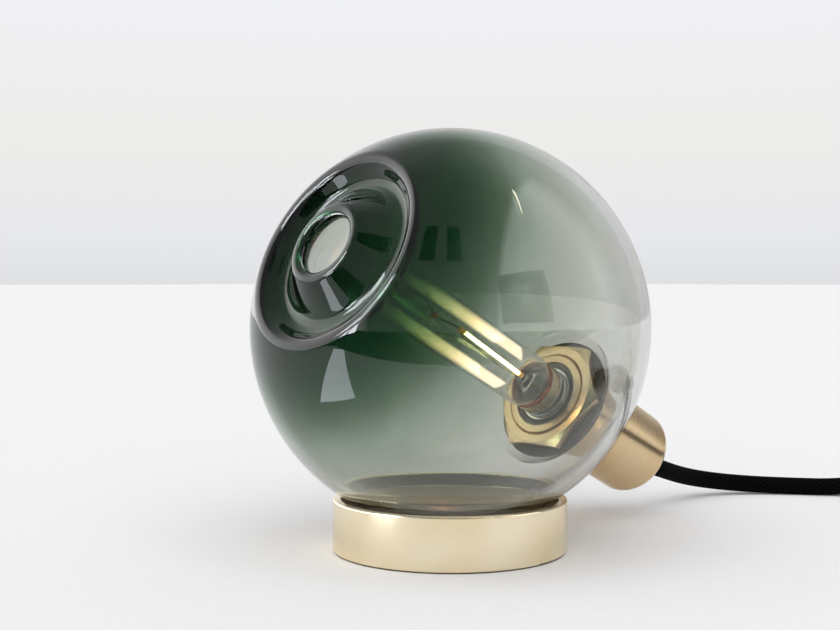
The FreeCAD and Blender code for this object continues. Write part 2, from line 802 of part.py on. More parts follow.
def make_bulb():
    """Tubular bulb on the lamp's axis: envelope, screw cap, stem, filament and its wires."""
    throat_s = cap_rim_s - cement_proud
    throat_end_s = cap_rim_s + cement_depth
    inner_r = tube_r - tube_wall
    throat_inner_r = tube_throat_r - tube_wall
    glass = turned([
        (tube_far_s, 0),
        (tube_far_s, tube_r, tube_far_fillet),
        (tube_shoulder_s, tube_r, tube_shoulder_fillet),
        (throat_s, tube_throat_r),
        (throat_end_s, tube_throat_r),
        (throat_end_s, throat_inner_r),
        (throat_s - tube_wall / 2, throat_inner_r),
        (tube_shoulder_s - tube_wall * fine_edge_share, inner_r, tube_shoulder_fillet - tube_wall),
        (tube_far_s + tube_wall, inner_r, tube_far_fillet - tube_wall),
        (tube_far_s + tube_wall, 0),
    ])
    cap_inner_r = cap_r - cap_sheet
    insulator_s = cap_end_s - tip_height - insulator_depth
    taper_s = insulator_s - cap_tail - cap_taper / 2
    cap = turned([
        (cap_rim_s, cap_inner_r),
        (cap_rim_s, cap_r),
        (taper_s - cap_taper / 2, cap_r, cap_sheet * 2),
        (insulator_s - cap_tail, cap_tail_r, cap_sheet),
        (insulator_s, cap_tail_r),
        (insulator_s, cap_tail_r - cap_sheet),
        (insulator_s - cap_tail, cap_tail_r - cap_sheet),
        (taper_s - cap_taper / 2, cap_inner_r),
    ])
    cement = turned([
        (throat_s, tube_throat_r),
        (throat_s, cap_r - cap_sheet * fine_edge_share, cement_proud * soft_edge_share),
        (cap_rim_s, cap_r - cap_sheet * fine_edge_share),
        (cap_rim_s, cap_inner_r),
        (throat_end_s, cap_inner_r),
        (throat_end_s, tube_throat_r),
    ])
    insulator = turned([
        (insulator_s - cap_tail, 0),
        (insulator_s - cap_tail, cap_tail_r - cap_sheet),
        (insulator_s, cap_tail_r - cap_sheet),
        (cap_end_s - tip_height, insulator_face_r),
        (cap_end_s - tip_height, 0),
    ])
    tip_s = cap_end_s - tip_height + tip_gap
    tip = turned([
        (tip_s, 0),
        (tip_s, tip_r),
        (cap_end_s, tip_r, tip_height * tip_round_share),
        (cap_end_s, 0),
    ])
    neck_end_s = stem_top_s + stem_neck_length
    stem = turned([
        (stem_top_s, 0),
        (stem_top_s, stem_neck_r, stem_neck_r / 2),
        (neck_end_s, stem_neck_r, stem_neck_r),
        (throat_end_s - stem_wall, throat_inner_r - stem_wall),
        (throat_end_s - stem_wall, throat_inner_r),
        (throat_end_s, throat_inner_r),
        (throat_end_s, throat_inner_r - 2 * stem_wall),
        (neck_end_s + stem_wall, 0),
    ])
    near = V(filament_near_s, 0, filament_near_rise)
    far = V(filament_far_s, 0, filament_far_rise)
    far_end = far - V(clip_length, 0, 0)
    filament = rod(far, near, filament_r)
    near_clip = rod(near - V(filament_r, 0, 0), V(stem_top_s, 0, filament_near_rise), clip_r).cut(filament)
    far_clip = rod(far_end, far + V(filament_r, 0, 0), clip_r).cut(filament)
    return_side = V(0, return_offset, 0)
    return_wire = pipe(tangent_route([
        V(stem_top_s, lead_spread, 0),
        V(stem_top_s - clip_length, lead_spread, 0),
        V(stem_top_s - clip_length - return_offset, return_offset, filament_near_rise),
        far + return_side + V(return_offset, 0, 0),
        far + V(-clip_length / 2, clip_r, 0),
    ]), thin_wire_r).cut(far_clip)
    support_points = [
        far_end,
        far_end - V(clip_length, 0, 0),
        V(bead_s, 0, filament_far_rise - bead_r),
        V(support_end_s, 0, filament_far_rise + support_rise / 2),
        V(support_end_s + bead_r, 0, filament_far_rise + support_rise),
    ]
    support = pipe(tangent_route(support_points), thin_wire_r)
    bead = Part.makeSphere(bead_r, support_points[2] + V(0, 0, thin_wire_r)).cut(support)
    driver = turned([
        (driver_s, 0),
        (driver_s, cap_inner_r),
        (driver_s + driver_board, cap_inner_r),
        (driver_s + driver_board, driver_block_r),
        (driver_s + driver_board + driver_block_length, driver_block_r, driver_board),
        (driver_s + driver_board + driver_block_length, 0),
    ])
    made = {
        "bulb_glass": glass,
        "bulb_cap": cap,
        "cap_cement": cement,
        "cap_insulator": insulator,
        "tip_contact": tip,
        "stem_glass": stem,
        "filament": filament,
        "filament_clips": Part.makeCompound([near_clip, far_clip]),
        "return_wire": return_wire,
        "support_wire": support,
        "support_bead": bead,
        "bulb_driver": driver,
    }
    return {name: placed(shape) for name, shape in made.items()}


def laid(shape):
    """From the switch's own frame (entry at the origin, cord along +X) to its place on the table."""
    moved = shape.copy()
    moved.rotate(V(0, 0, 0), V(0, 0, 1), away_heading_deg)
    moved.translate(V(switch_x, switch_y, 0))
    return moved


def away(along, across, height):
    """Real place of a point given in the switch's own frame."""
    return V(
        switch_x + along * math.cos(heading) - across * math.sin(heading),
        switch_y + along * math.sin(heading) + across * math.cos(heading),
        height,
    )


def coil_wire(start_x):
    """Two layers of loops, in at the bottom and out on top, all turning clockwise from above."""
    shrink = coil_pitch / 2
    place, radius, side, height = coil_outer_r, coil_outer_r, 1, cord_r
    middle = -coil_outer_r
    edges = [Part.LineSegment(V(start_x - 2 * cord_r, 0, height), V(start_x, 0, height)).toShape()]

    def half_turn():
        centre = place - side * radius
        end = centre - side * radius
        edges.append(Part.Arc(
            V(start_x, middle + place, height),
            V(start_x + side * radius, middle + centre, height),
            V(start_x, middle + end, height),
        ).toShape())
        return end

    for turn in range(coil_inward_halves):
        place = half_turn()
        side = -side
        radius -= shrink
    half_climb = coil_pitch / 2
    reach = math.sqrt(radius ** 2 + half_climb ** 2)
    hub = V(start_x, middle, height + half_climb)
    foot = V(0, side * radius, -half_climb)
    out = V(side * reach, 0, 0)
    top = V(0, -side * radius, half_climb)
    for first, second in ((foot, out), (out, top)):
        between = unit(first + second) * reach
        edges.append(Part.Arc(hub + first, hub + between, hub + second).toShape())
    place = -side * radius
    side = -side
    height += coil_pitch
    for turn in range(coil_inward_halves - 1):
        radius += shrink
        place = half_turn()
        side = -side
    leave = math.radians(coil_leave_deg)
    first, halfway, last = [
        V(start_x + coil_outer_r * math.sin(turn), middle + coil_outer_r * math.cos(turn), height)
        for turn in (0, leave / 2, leave)
    ]
    edges.append(Part.Arc(first, halfway, last).toShape())
    end = last + V(math.cos(leave), -math.sin(leave), 0) * 2 * cord_r
    edges.append(Part.LineSegment(last, end).toShape())
    return Part.Wire(edges), end


def least_gap(wire):
    """Smallest space between two passes of the wound cord."""
    step = cord_r / 2
    points = wire.discretize(Distance=step)
    own_stretch = 6 * cord_r
    skip = int(own_stretch / step)
    least = None
    for i, here in enumerate(points):
        for other in points[i + skip:]:
            if abs(other.x - here.x) < coil_pitch * 2 and abs(other.y - here.y) < coil_pitch * 2:
                gap = (other - here).Length - 2 * cord_r
                least = gap if least is None else min(least, gap)
    return least


def make_cord():
    """Cord from the barrel along the table, through the switch, into the coil and to the plug."""
    lead_wire = tangent_route(
        [lamp_point(cord_exit_s, 0, 0), lamp_point(cord_exit_s + cord_first_run, 0, 0)]
        + [V(*point) for point in cord_route]
        + [away(cord_bite - cord_end_run, 0, switch_cord_z), away(cord_bite, 0, switch_cord_z)],
        "cord_lead",
    )
    link_x = switch_length - cord_bite
    coil_x = link_x + 2 * cord_end_run + cord_step_run
    link_wire = tangent_route([
        away(link_x, 0, switch_cord_z),
        away(link_x + cord_end_run, 0, switch_cord_z),
        away(link_x + cord_end_run + cord_step_run, 0, cord_r),
        away(coil_x, 0, cord_r),
    ], "cord_link")
    coil_turn_x = coil_x + 2 * cord_r
    coil, coil_end = coil_wire(coil_turn_x)
    leave = math.radians(coil_leave_deg)
    ahead = V(math.cos(leave), -math.sin(leave), 0)
    tail_run = 2 * cord_end_run + cord_step_run
    tail_points = []
    for run, height in (
        (0, coil_end.z),
        (cord_end_run, coil_end.z),
        (cord_end_run + cord_step_run, plug_axis_z),
        (tail_run, plug_axis_z),
    ):
        place = coil_end + ahead * run
        tail_points.append(away(place.x, place.y, height))
    tail_wire = tangent_route(tail_points, "cord_tail")
    plug_place = coil_end + ahead * (tail_run - cord_bite)
    made = {}
    total = stub_length
    for name, wire in (("cord_lead", lead_wire), ("cord_link", link_wire), ("cord_tail", tail_wire)):
        made[name] = pipe(wire, cord_r)
        report_cord(name, made[name], wire)
        total += wire.Length
    wound = pipe(coil, cord_r)
    report_cord("cord_coil", wound, coil)
    print("least gap in the coil", round(least_gap(coil), 2))
    made["cord_coil"] = laid(wound)
    print("cord length", round(total + coil.Length + switch_length - 2 * cord_bite, 1))
    return made, plug_place


def rounded_block(length, width, low, high, corner, edge, edge_height, inset):
    """Block with rounded upright corners and one rounded rim, drawn inwards by the inset."""
    block = Part.makeBox(length - 2 * inset, width - 2 * inset, high - low, V(inset, inset - width / 2, low))
    upright = [e for e in block.Edges if abs(e.Vertexes[0].Z - e.Vertexes[1].Z) > 0.5 * (high - low)]
    block = block.makeFillet(corner - inset, upright)
    rim = [e for e in block.Edges if all(abs(v.Z - edge_height) < touch for v in e.Vertexes)]
    return block.makeFillet(edge, rim)


def make_switch():
    """In-line switch: two shells, rocker on a pin, contacts, screws and through conductors."""
    ends = switch_length, switch_width
    roof = switch_height - switch_wall
    base = rounded_block(*ends, 0, switch_cord_z, switch_corner, switch_inner_edge, 0, 0)
    base_room = rounded_block(
        *ends, switch_wall, switch_height, switch_corner, switch_inner_edge, switch_wall, switch_wall)
    cover = rounded_block(
        *ends, switch_cord_z, switch_height, switch_corner, switch_edge, switch_height, 0)
    cover_room = rounded_block(*ends, 0, roof, switch_corner, switch_inner_edge, roof, switch_wall)
    base = base.cut(base_room)
    cover = cover.cut(cover_room)

    middle = switch_length / 2
    pin_z = switch_height - rocker_pin_drop
    half_width = rocker_width / 2
    window_x = rocker_reach + rocker_gap
    window_y = half_width + rocker_gap
    pin_half = window_y + switch_wall
    pin = rod(V(middle, -pin_half, pin_z), V(middle, pin_half, pin_z), rocker_pin_r)
    for side in (-1, 1):
        cheek_y = window_y if side > 0 else -pin_half
        cheek_low = pin_z - cheek_below_pin
        cover = cover.fuse(Part.makeBox(
            cheek_length, switch_wall, roof - cheek_low, V(middle - cheek_length / 2, cheek_y, cheek_low)))
    screws = []
    for side in (-1, 1):
        x = middle - side * (middle - switch_screw_x)
        y = side * switch_screw_y
        head_top = switch_screw_recess + switch_screw_head
        base = base.fuse(rod(V(x, y, switch_wall / 2), V(x, y, switch_cord_z), boss_r))
        cover = cover.fuse(rod(V(x, y, switch_cord_z), V(x, y, roof + switch_wall / 2), boss_r))
        head = rod(V(x, y, switch_screw_recess), V(x, y, head_top), switch_screw_head_r)
        shank = rod(V(x, y, head_top), V(x, y, switch_screw_reach), switch_screw_r)
        screw = head.fuse(shank).removeSplitter()
        slot = Part.makeBox(3 * switch_screw_r, contact_sheet, contact_sheet, V(
            x - 3 * switch_screw_r / 2, y - contact_sheet / 2, switch_screw_recess))
        screws.append(screw.cut(slot))
        base = base.cut(shank).cut(rod(V(x, y, -overrun), V(x, y, head_top), switch_screw_head_r))
        cover = cover.cut(shank)
    cord_bore = rod(V(-overrun, 0, switch_cord_z), V(switch_length + overrun, 0, switch_cord_z), cord_hole_r)
    end_blocks = Part.makeBox(switch_length - 2 * switch_wall, switch_width, switch_height, V(
        switch_wall, -switch_width / 2, 0))
    cord_bore = cord_bore.cut(end_blocks)
    window = Part.makeBox(2 * window_x, 2 * window_y, 2 * switch_wall, V(
        middle - window_x, -window_y, roof - switch_wall / 2))
    cover = cover.cut(window).cut(pin).cut(cord_bore).removeSplitter()
    base = base.cut(cord_bore).removeSplitter()

    half_swing = math.radians(rocker_swing_deg / 2)
    centre_top = rocker_pin_drop + rocker_centre_proud
    end_top = centre_top + rocker_reach * math.tan(half_swing)
    profile = [
        (-rocker_reach, -rocker_below_pin),
        (rocker_reach, -rocker_below_pin),
        (rocker_reach, end_top),
        (0, centre_top),
        (-rocker_reach, end_top),
        (-rocker_reach, -rocker_below_pin),
    ]
    rocker = Part.Face(Part.makePolygon([V(x, -half_width, z) for x, z in profile]))
    rocker = rocker.extrude(V(0, rocker_width, 0))
    swept = rod(V(0, -half_width, 0), V(0, half_width, 0), rocker_reach)
    pin_hole = rod(V(0, -half_width, 0), V(0, half_width, 0), rocker_pin_r + rocker_pin_gap)
    rocker = rocker.common(swept).cut(pin_hole)
    rocker.rotate(V(0, 0, 0), V(0, 1, 0), -rocker_swing_deg / 2)
    rocker.translate(V(middle, 0, pin_z))

    contact_top = pin_z - rocker_below_pin - contact_offset * math.sin(half_swing) - contact_gap
    contacts = []
    conductors = []
    foot_z = switch_wall + contact_sheet / 2
    for side in (-1, 1):
        x = middle + side * contact_offset
        contact = bent_strip([
            (x + side * contact_foot, foot_z),
            (x, foot_z),
            (x, contact_top),
        ], contact_sheet, contact_width)
        contact.rotate(V(0, 0, 0), V(1, 0, 0), 90)
        contacts.append(contact)
        cord_end = middle + side * (middle - cord_bite)
        conductors.append(pipe(tangent_route([
            V(cord_end, 0, switch_cord_z),
            V(cord_end - side * conductor_run, 0, switch_cord_z),
            V(cord_end - side * (conductor_run + conductor_drop_run), 0, conductor_z),
            V(x + side * contact_sheet / 2, 0, conductor_z),
        ]), wire_r))
        near_x = cord_bite + conductor_run
        drop_x = near_x + conductor_drop_run
        conductors.append(pipe(tangent_route([
            V(cord_bite, side * wire_spread, switch_cord_z),
            V(near_x, side * wire_spread, switch_cord_z),
            V(drop_x, side * conductor_y, conductor_z),
            V(switch_length - drop_x, side * conductor_y, conductor_z),
            V(switch_length - near_x, side * wire_spread, switch_cord_z),
            V(switch_length - cord_bite, side * wire_spread, switch_cord_z),
        ]), wire_r))
    made = {
        "switch_base": base,
        "switch_cover": cover,
        "switch_rocker": rocker,
        "rocker_pin": pin,
        "switch_screws": Part.makeCompound(screws),
        "switch_contacts": Part.makeCompound(contacts),
        "switch_wires": Part.makeCompound(conductors),
    }
    hinge = away(middle, 0, pin_z)
    print("rocker hinge", [round(c, 4) for c in hinge])
    return {name: laid(shape) for name, shape in made.items()}


def make_plug(plug_place):
    """Round earthed plug: relief sleeve, grip, face, two pins and two side clips."""
    grip_end = relief_length + plug_grip_length
    rim_start = grip_end + plug_flare_length
    front = rim_start + plug_front_length
    face_back = front - plug_face_depth
    relief = turned([
        (0, cord_hole_r),
        (0, relief_rear_r, relief_edge),
        (relief_length, relief_front_r),
        (relief_length, 0),
        (cord_bite, 0),
        (cord_bite, cord_hole_r),
    ])
    body = turned([
        (relief_length, 0),
        (relief_length, plug_grip_r, plug_rear_fillet),
        (grip_end, plug_grip_r, plug_front_fillet),
        (rim_start, plug_r, plug_front_fillet),
        (front, plug_r, plug_front_fillet),
        (front, plug_face_r),
        (face_back, plug_face_r),
        (face_back, 0),
    ])
    face = rod(V(face_back, 0, 0), V(front, 0, 0), plug_face_r)
    earth_mouth = V(front + overrun, 0, earth_socket_offset)
    earth_hole = rod(V(front - earth_socket_depth, 0, earth_socket_offset), earth_mouth, earth_socket_r)
    face = face.cut(earth_hole)
    body = body.cut(earth_hole)
    pins = []
    for side in (-1, 1):
        pin = turned([
            (front - plug_pin_root, 0),
            (front - plug_pin_root, plug_pin_r),
            (front + plug_pin_length, plug_pin_r, plug_pin_tip),
            (front + plug_pin_length, 0),
        ])
        pin.translate(V(0, side * plug_pin_offset, 0))
        pins.append(pin)
        face = face.cut(pin)
        body = body.cut(pin)
    clips = []
    clip_out = plug_r - earth_clip_inset
    for side in (-1, 1):
        low = clip_out - earth_clip_thickness if side > 0 else -clip_out
        clip = Part.makeBox(earth_clip_length, earth_clip_width, earth_clip_thickness, V(
            front - earth_clip_length, -earth_clip_width / 2, low))
        recess_low = low if side > 0 else low - earth_clip_thickness
        recess = Part.makeBox(earth_clip_length, earth_clip_width, 2 * earth_clip_thickness, V(
            front - earth_clip_length, -earth_clip_width / 2, recess_low))
        body = body.cut(recess)
        clips.append(clip)
    made = {
        "plug_relief": relief,
        "plug_body": body,
        "plug_face": face,
        "plug_pins": Part.makeCompound(pins),
        "plug_earth_clips": Part.makeCompound(clips),
    }
    for shape in made.values():
        shape.rotate(V(0, 0, 0), V(0, 0, 1), -coil_leave_deg)
        shape.translate(V(plug_place.x, plug_place.y, plug_axis_z))
    return {name: laid(shape) for name, shape in made.items()}


shapes = {}
shapes.update(make_base())
shapes.update(make_globe())
shapes.update(make_neck())
shapes.update(make_barrel())
shapes.update(make_socket())
shapes.update(make_cord_grip())
shapes.update(make_bulb())
cords, plug_start = make_cord()
shapes.update(cords)
shapes.update(make_switch())
shapes.update(make_plug(plug_start))
print("globe centre height", round(globe_z, 4))

os.makedirs("parts", exist_ok=True)
for name, shape in shapes.items():
    shape.exportStep("parts/%s.step" % name)
    if not shape.isValid() or not shape.Solids:
        print("faulty shape:", name)
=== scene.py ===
import math
import bmesh
import bpy
from mathutils import Matrix, Vector


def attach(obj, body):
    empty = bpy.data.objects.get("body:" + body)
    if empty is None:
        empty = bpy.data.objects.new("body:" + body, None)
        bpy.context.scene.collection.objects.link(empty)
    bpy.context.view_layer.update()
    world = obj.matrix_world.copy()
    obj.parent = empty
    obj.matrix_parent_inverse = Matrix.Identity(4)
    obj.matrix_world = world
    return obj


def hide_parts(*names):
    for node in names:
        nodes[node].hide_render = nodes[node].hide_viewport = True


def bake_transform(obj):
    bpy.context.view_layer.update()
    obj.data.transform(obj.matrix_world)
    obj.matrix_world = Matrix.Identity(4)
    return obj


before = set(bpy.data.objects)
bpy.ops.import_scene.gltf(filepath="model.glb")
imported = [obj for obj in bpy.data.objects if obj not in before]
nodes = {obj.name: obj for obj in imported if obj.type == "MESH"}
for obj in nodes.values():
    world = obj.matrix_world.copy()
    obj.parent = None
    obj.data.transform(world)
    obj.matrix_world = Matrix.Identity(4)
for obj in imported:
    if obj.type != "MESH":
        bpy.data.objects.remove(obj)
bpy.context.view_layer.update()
print("stage: frame loaded,", len(nodes), "nodes")

lampAxis = {
    "tilt": math.radians(27.0),      # how far the lampholder points below the horizontal
    "globeHeight": 0.1058979,        # the globe's centre above the table
}
lampDirection = (math.cos(lampAxis["tilt"]), 0, -math.sin(lampAxis["tilt"]))
toLamp = Matrix.Translation((0, 0, lampAxis["globeHeight"])) @ Matrix.Rotation(lampAxis["tilt"], 4, "Y")


def lampPoint(s):
    return toLamp @ Vector((s, 0, 0))


# Camera: where the photograph was taken from
cameraView = {
    "place": (-0.4424, -0.4440, 0.1286),
    "look": (0.6893, 0.7240, -0.0261),
    "lens": 56.19,
    "sensor": 36.0,
    "nearest": 0.01,
}
cameraData = bpy.data.cameras.new("studioCamera")
cameraData.lens = cameraView["lens"]
cameraData.sensor_width = cameraView["sensor"]
cameraData.sensor_fit = "HORIZONTAL"
cameraData.clip_start = cameraView["nearest"]
camera = bpy.data.objects.new("studioCamera", cameraData)
bpy.context.scene.collection.objects.link(camera)
camera.location = cameraView["place"]
camera.rotation_euler = Vector(cameraView["look"]).to_track_quat("-Z", "Y").to_euler()
bpy.context.scene.camera = camera
bpy.context.scene.view_settings.view_transform = "Standard"


# Small helpers for materials
def hexColour(code):
    parts = [int(code[i:i + 2], 16) / 255 for i in (1, 3, 5)]
    linear = [p / 12.92 if p <= 0.04045 else ((p + 0.055) / 1.055) ** 2.4 for p in parts]
    return (*linear, 1.0)


def addNode(tree, kind, settings=None, values=None, links=None):
    node = tree.nodes.new(kind)
    for name, value in (settings or {}).items():
        setattr(node, name, value)
    for name, value in (values or {}).items():
        node.inputs[name].default_value = value
    for name, source in (links or {}).items():
        tree.links.new(source, node.inputs[name])
    return node


# links each socket to an output, or gives it a value
def feed(tree, sockets, values):
    for socket, value in zip(sockets, values):
        if isinstance(value, bpy.types.NodeSocket):
            tree.links.new(value, socket)
        else:
            socket.default_value = value


def newMaterial(name, values):
    material = bpy.data.materials.new(name)
    material.use_nodes = True
    tree = material.node_tree
    shader = tree.nodes["Principled BSDF"]
    for key, value in values.items():
        shader.inputs[key].default_value = value
    coords = addNode(tree, "ShaderNodeTexCoord")
    return material, tree, shader, coords.outputs["Object"]


def mathNode(tree, operation, *values):
    node = addNode(tree, "ShaderNodeMath", {"operation": operation})
    feed(tree, node.inputs, values)
    return node.outputs[0]


def dotNode(tree, place, direction):
    node = addNode(tree, "ShaderNodeVectorMath", {"operation": "DOT_PRODUCT"})
    feed(tree, node.inputs, (place, direction))
    return node.outputs["Value"]


def rangeNode(tree, source, fromRange, toRange=(0.0, 1.0)):
    node = addNode(tree, "ShaderNodeMapRange", values={
        "From Min": fromRange[0], "From Max": fromRange[1], "To Min": toRange[0], "To Max": toRange[1]})
    tree.links.new(source, node.inputs["Value"])
    return node.outputs[0]


# a mix node's places for the factor and the two values of a kind, and for its result
mixSockets = {"FLOAT": ((0, 2, 3), 0), "RGBA": ((0, 6, 7), 2)}


def mixNode(tree, kind, factor, first, second, mode="MIX"):
    node = addNode(tree, "ShaderNodeMix", {"data_type": kind, "blend_type": mode})
    places, result = mixSockets[kind]
    feed(tree, [node.inputs[i] for i in places], (factor, first, second))
    return node.outputs[result]


def noiseField(tree, source, size, detail):
    return addNode(tree, "ShaderNodeTexNoise", values={"Scale": 1 / size, "Detail": detail},
                   links={"Vector": source}).outputs[0]


def colourRamp(tree, factor, stops, mode="LINEAR"):
    ramp = addNode(tree, "ShaderNodeValToRGB", links={"Fac": factor})
    ramp.color_ramp.interpolation = mode
    elements = ramp.color_ramp.elements
    while len(elements) < len(stops):
        elements.new(0.5)
    for element, (place, colour) in zip(elements, stops):
        element.position = place
        element.color = hexColour(colour)
    return ramp.outputs["Color"]


def twoTones(tree, factor, tones, edge=(0.35, 0.65)):
    return colourRamp(tree, factor, list(zip(edge, tones)))


def bumpFrom(tree, shader, height, strength, distance):
    bump = addNode(tree, "ShaderNodeBump", values={"Strength": strength, "Distance": distance},
                   links={"Height": height})
    tree.links.new(bump.outputs[0], shader.inputs["Normal"])


# Cord: one braided lead from the barrel along the table, through the switch, coiled, to the plug
cordRoute = {
    "diameter": 0.010,
    "exitS": 0.1655,                 # the bush's outer face, along the lamp's axis
    "firstRun": 0.012,               # straight out of the bush
    "table": [(0.177, 0.0026, 0.0199), (0.196, 0.0052, 0.0148), (0.214, 0.0054, 0.0108),
              (0.2325, 0.0002, 0.0075), (0.2495, -0.0116, 0.0055), (0.2645, -0.0304, 0.005),
              (0.277, -0.0472, 0.005)],
    "switch": (0.2901, -0.07015),    # the middle of the switch's near end
    "heading": math.radians(-66.0),
    "switchLength": 0.056,
    "switchCordZ": 0.0076,
    "bite": 0.005,                   # how deep the cord goes into switch and plug
    "endRun": 0.0125,                # straight beside them
    "stepRun": 0.014,                # where it sinks to the table or rises from it
    "coilRadius": 0.061,
    "coilPitch": 0.0106,
    "coilHalves": 4,
    "pointsPerHalf": 8,
    "leave": math.radians(126.0),    # how far the last turn goes round before the plug's lead leaves it
    "leavePoints": 6,
    "plugHeight": 0.0186,
    "splineSteps": 7,
    "sides": 24,
}


def awayPoint(along, across, height):
    c, s = math.cos(cordRoute["heading"]), math.sin(cordRoute["heading"])
    x, y = cordRoute["switch"]
    return Vector((x + along * c - across * s, y + along * s + across * c, height))


def cordPoints():
    r = cordRoute
    half = r["diameter"] / 2
    points = [lampPoint(r["exitS"]), lampPoint(r["exitS"] + r["firstRun"])]
    points += [Vector(p) for p in r["table"]]
    points += [awayPoint(r["bite"] - r["endRun"], 0, r["switchCordZ"]),
               awayPoint(r["bite"], 0, r["switchCordZ"]),
               awayPoint(r["switchLength"] - r["bite"], 0, r["switchCordZ"])]
    x = r["switchLength"] - r["bite"] + r["endRun"]
    points.append(awayPoint(x, 0, r["switchCordZ"]))
    x += r["stepRun"]
    points.append(awayPoint(x, 0, half))
    x += r["endRun"] + r["diameter"]
    # two layers of turns, in below and out on top, each half turn a little smaller or larger
    place, radius, side, height = r["coilRadius"], r["coilRadius"], 1, half
    stepAngle = math.pi / r["pointsPerHalf"]
    spread = 1 / math.cos(stepAngle / 2)
    for k in range(2 * r["coilHalves"]):
        centre = place - side * radius
        climb = r["coilPitch"] if k == r["coilHalves"] else 0.0
        for i in range(r["pointsPerHalf"]):
            angle = (i + 0.5) * stepAngle
            rise = climb * (0.5 - 0.5 * math.cos(angle))
            points.append(awayPoint(x + side * radius * spread * math.sin(angle),
                                    -r["coilRadius"] + centre + side * radius * spread * math.cos(angle),
                                    height + rise))
        height += climb
        place = centre - side * radius
        side = -side
        radius += -r["coilPitch"] / 2 if k < r["coilHalves"] else r["coilPitch"] / 2
    # the last stretch of the outer turn, and the way out to the plug
    stepAngle = r["leave"] / r["leavePoints"]
    spread = r["coilRadius"] / math.cos(stepAngle / 2)
    for i in range(r["leavePoints"]):
        angle = (i + 0.5) * stepAngle
        across = spread * math.cos(angle) - r["coilRadius"]
        points.append(awayPoint(x + spread * math.sin(angle), across, height))
    goneX, goneY = math.cos(r["leave"]), -math.sin(r["leave"])
    fromX = x + r["coilRadius"] * math.sin(r["leave"])
    fromY = r["coilRadius"] * (math.cos(r["leave"]) - 1)
    run = r["diameter"] + r["endRun"]
    for step, level in ((0, height), (r["stepRun"], r["plugHeight"]), (r["endRun"], r["plugHeight"])):
        run += step
        points.append(awayPoint(fromX + goneX * run, fromY + goneY * run, level))
    return points


def splineLine(name, points, resolution):
    curve = bpy.data.curves.new(name, "CURVE")
    curve.dimensions = "3D"
    spline = curve.splines.new("NURBS")
    spline.points.add(len(points) - 1)
    for point, place in zip(spline.points, points):
        point.co = (*place, 1.0)
    spline.order_u = 3
    spline.use_endpoint_u = True
    spline.resolution_u = resolution
    holder = bpy.data.objects.new(name, curve)
    bpy.context.scene.collection.objects.link(holder)
    bpy.context.view_layer.update()
    line = bpy.data.meshes.new_from_object(holder.evaluated_get(bpy.context.evaluated_depsgraph_get()))
    places = [v.co.copy() for v in line.vertices]
    bpy.data.objects.remove(holder)
    bpy.data.meshes.remove(line)
    return places


def tubeAlong(name, line, radius, sides):
    rings, travels = [], []
    travelled = 0.0
    across = None
    turns = [2 * math.pi * k / sides for k in range(sides)]
    for i, here in enumerate(line):
        ahead = line[min(i + 1, len(line) - 1)] - line[max(i - 1, 0)]
        ahead.normalize()
        if across is None:
            across = ahead.orthogonal().normalized()
        across = (across - ahead * across.dot(ahead)).normalized()
        over = ahead.cross(across)
        if i:
            travelled += (here - line[i - 1]).length
        rings.append([here + (across * math.cos(a) + over * math.sin(a)) * radius for a in turns])
        travels.append(travelled)
    verts = [v for ring in rings for v in ring]
    faces = []
    for i in range(len(line) - 1):
        low, high = i * sides, (i + 1) * sides
        for k in range(sides):
            n = (k + 1) % sides
            faces.append((low + k, low + n, high + n, high + k))
    faces += [tuple(range(sides - 1, -1, -1)), tuple((len(line) - 1) * sides + k for k in range(sides))]
    mesh = bpy.data.meshes.new(name)
    mesh.from_pydata(verts, [], faces)
    layer = mesh.uv_layers.new(name="along")
    for face in mesh.polygons[:-2]:
        i, k = divmod(face.index, sides)
        corners = [(k, i), (k + 1, i), (k + 1, i + 1), (k, i + 1)]
        for loop, (u, v) in zip(face.loop_indices, corners):
            layer.data[loop].uv = (u / sides, travels[v])
    mesh.shade_smooth()
    piece = bpy.data.objects.new(name, mesh)
    bpy.context.scene.collection.objects.link(piece)
    return piece


cordLine = splineLine("cordRoute", cordPoints(), cordRoute["splineSteps"])
textileCord = tubeAlong("textile_cord", cordLine, cordRoute["diameter"] / 2, cordRoute["sides"])


# Globe: blown glass, thick, with the rolled dimple hole at one pole and the neck at the other.
# Corners are in mm: place along the axis from the globe's centre, radius, fillet
globeForm = {
    "radius": 0.095,
    "wall": 0.005,
    "rimAngle": math.radians(33.0),
    "neckAngle": math.radians(26.0),
    "innerLead": 0.0035,             # angle by which the inner wall turns into the neck sooner
    "segments": 256,
    "arcSteps": 96,
    "filletStep": 0.16,              # turn from one point of a fillet to the next
    "fewestSteps": 3,
    "sharp": math.radians(32),
    # over the crest, down the flank, along the trough, round the rolled lip and back inside
    "dimple": [(-83.76, 45.45, 5.9), (-74.5, 38.5, 6.0), (-74.5, 32.0, 8.0), (-89.62, 17.33, 4.0),
               (-83.33, 12.38, 4.0), (-69.5, 30.0, 13.0), (-69.5, 41.0, 8.5), (-77.0, 46.6, 0.0)],
    # from the inner wall through the neck's opening to the outer wall
    "neck": [(82.0, 37.5, 2.0), (88.5, 33.7, 0.8), (88.5, 28.75, 0.4), (93.5, 28.75, 0.4),
             (93.5, 33.5, 2.4), (86.48, 39.4, 2.4)],
}


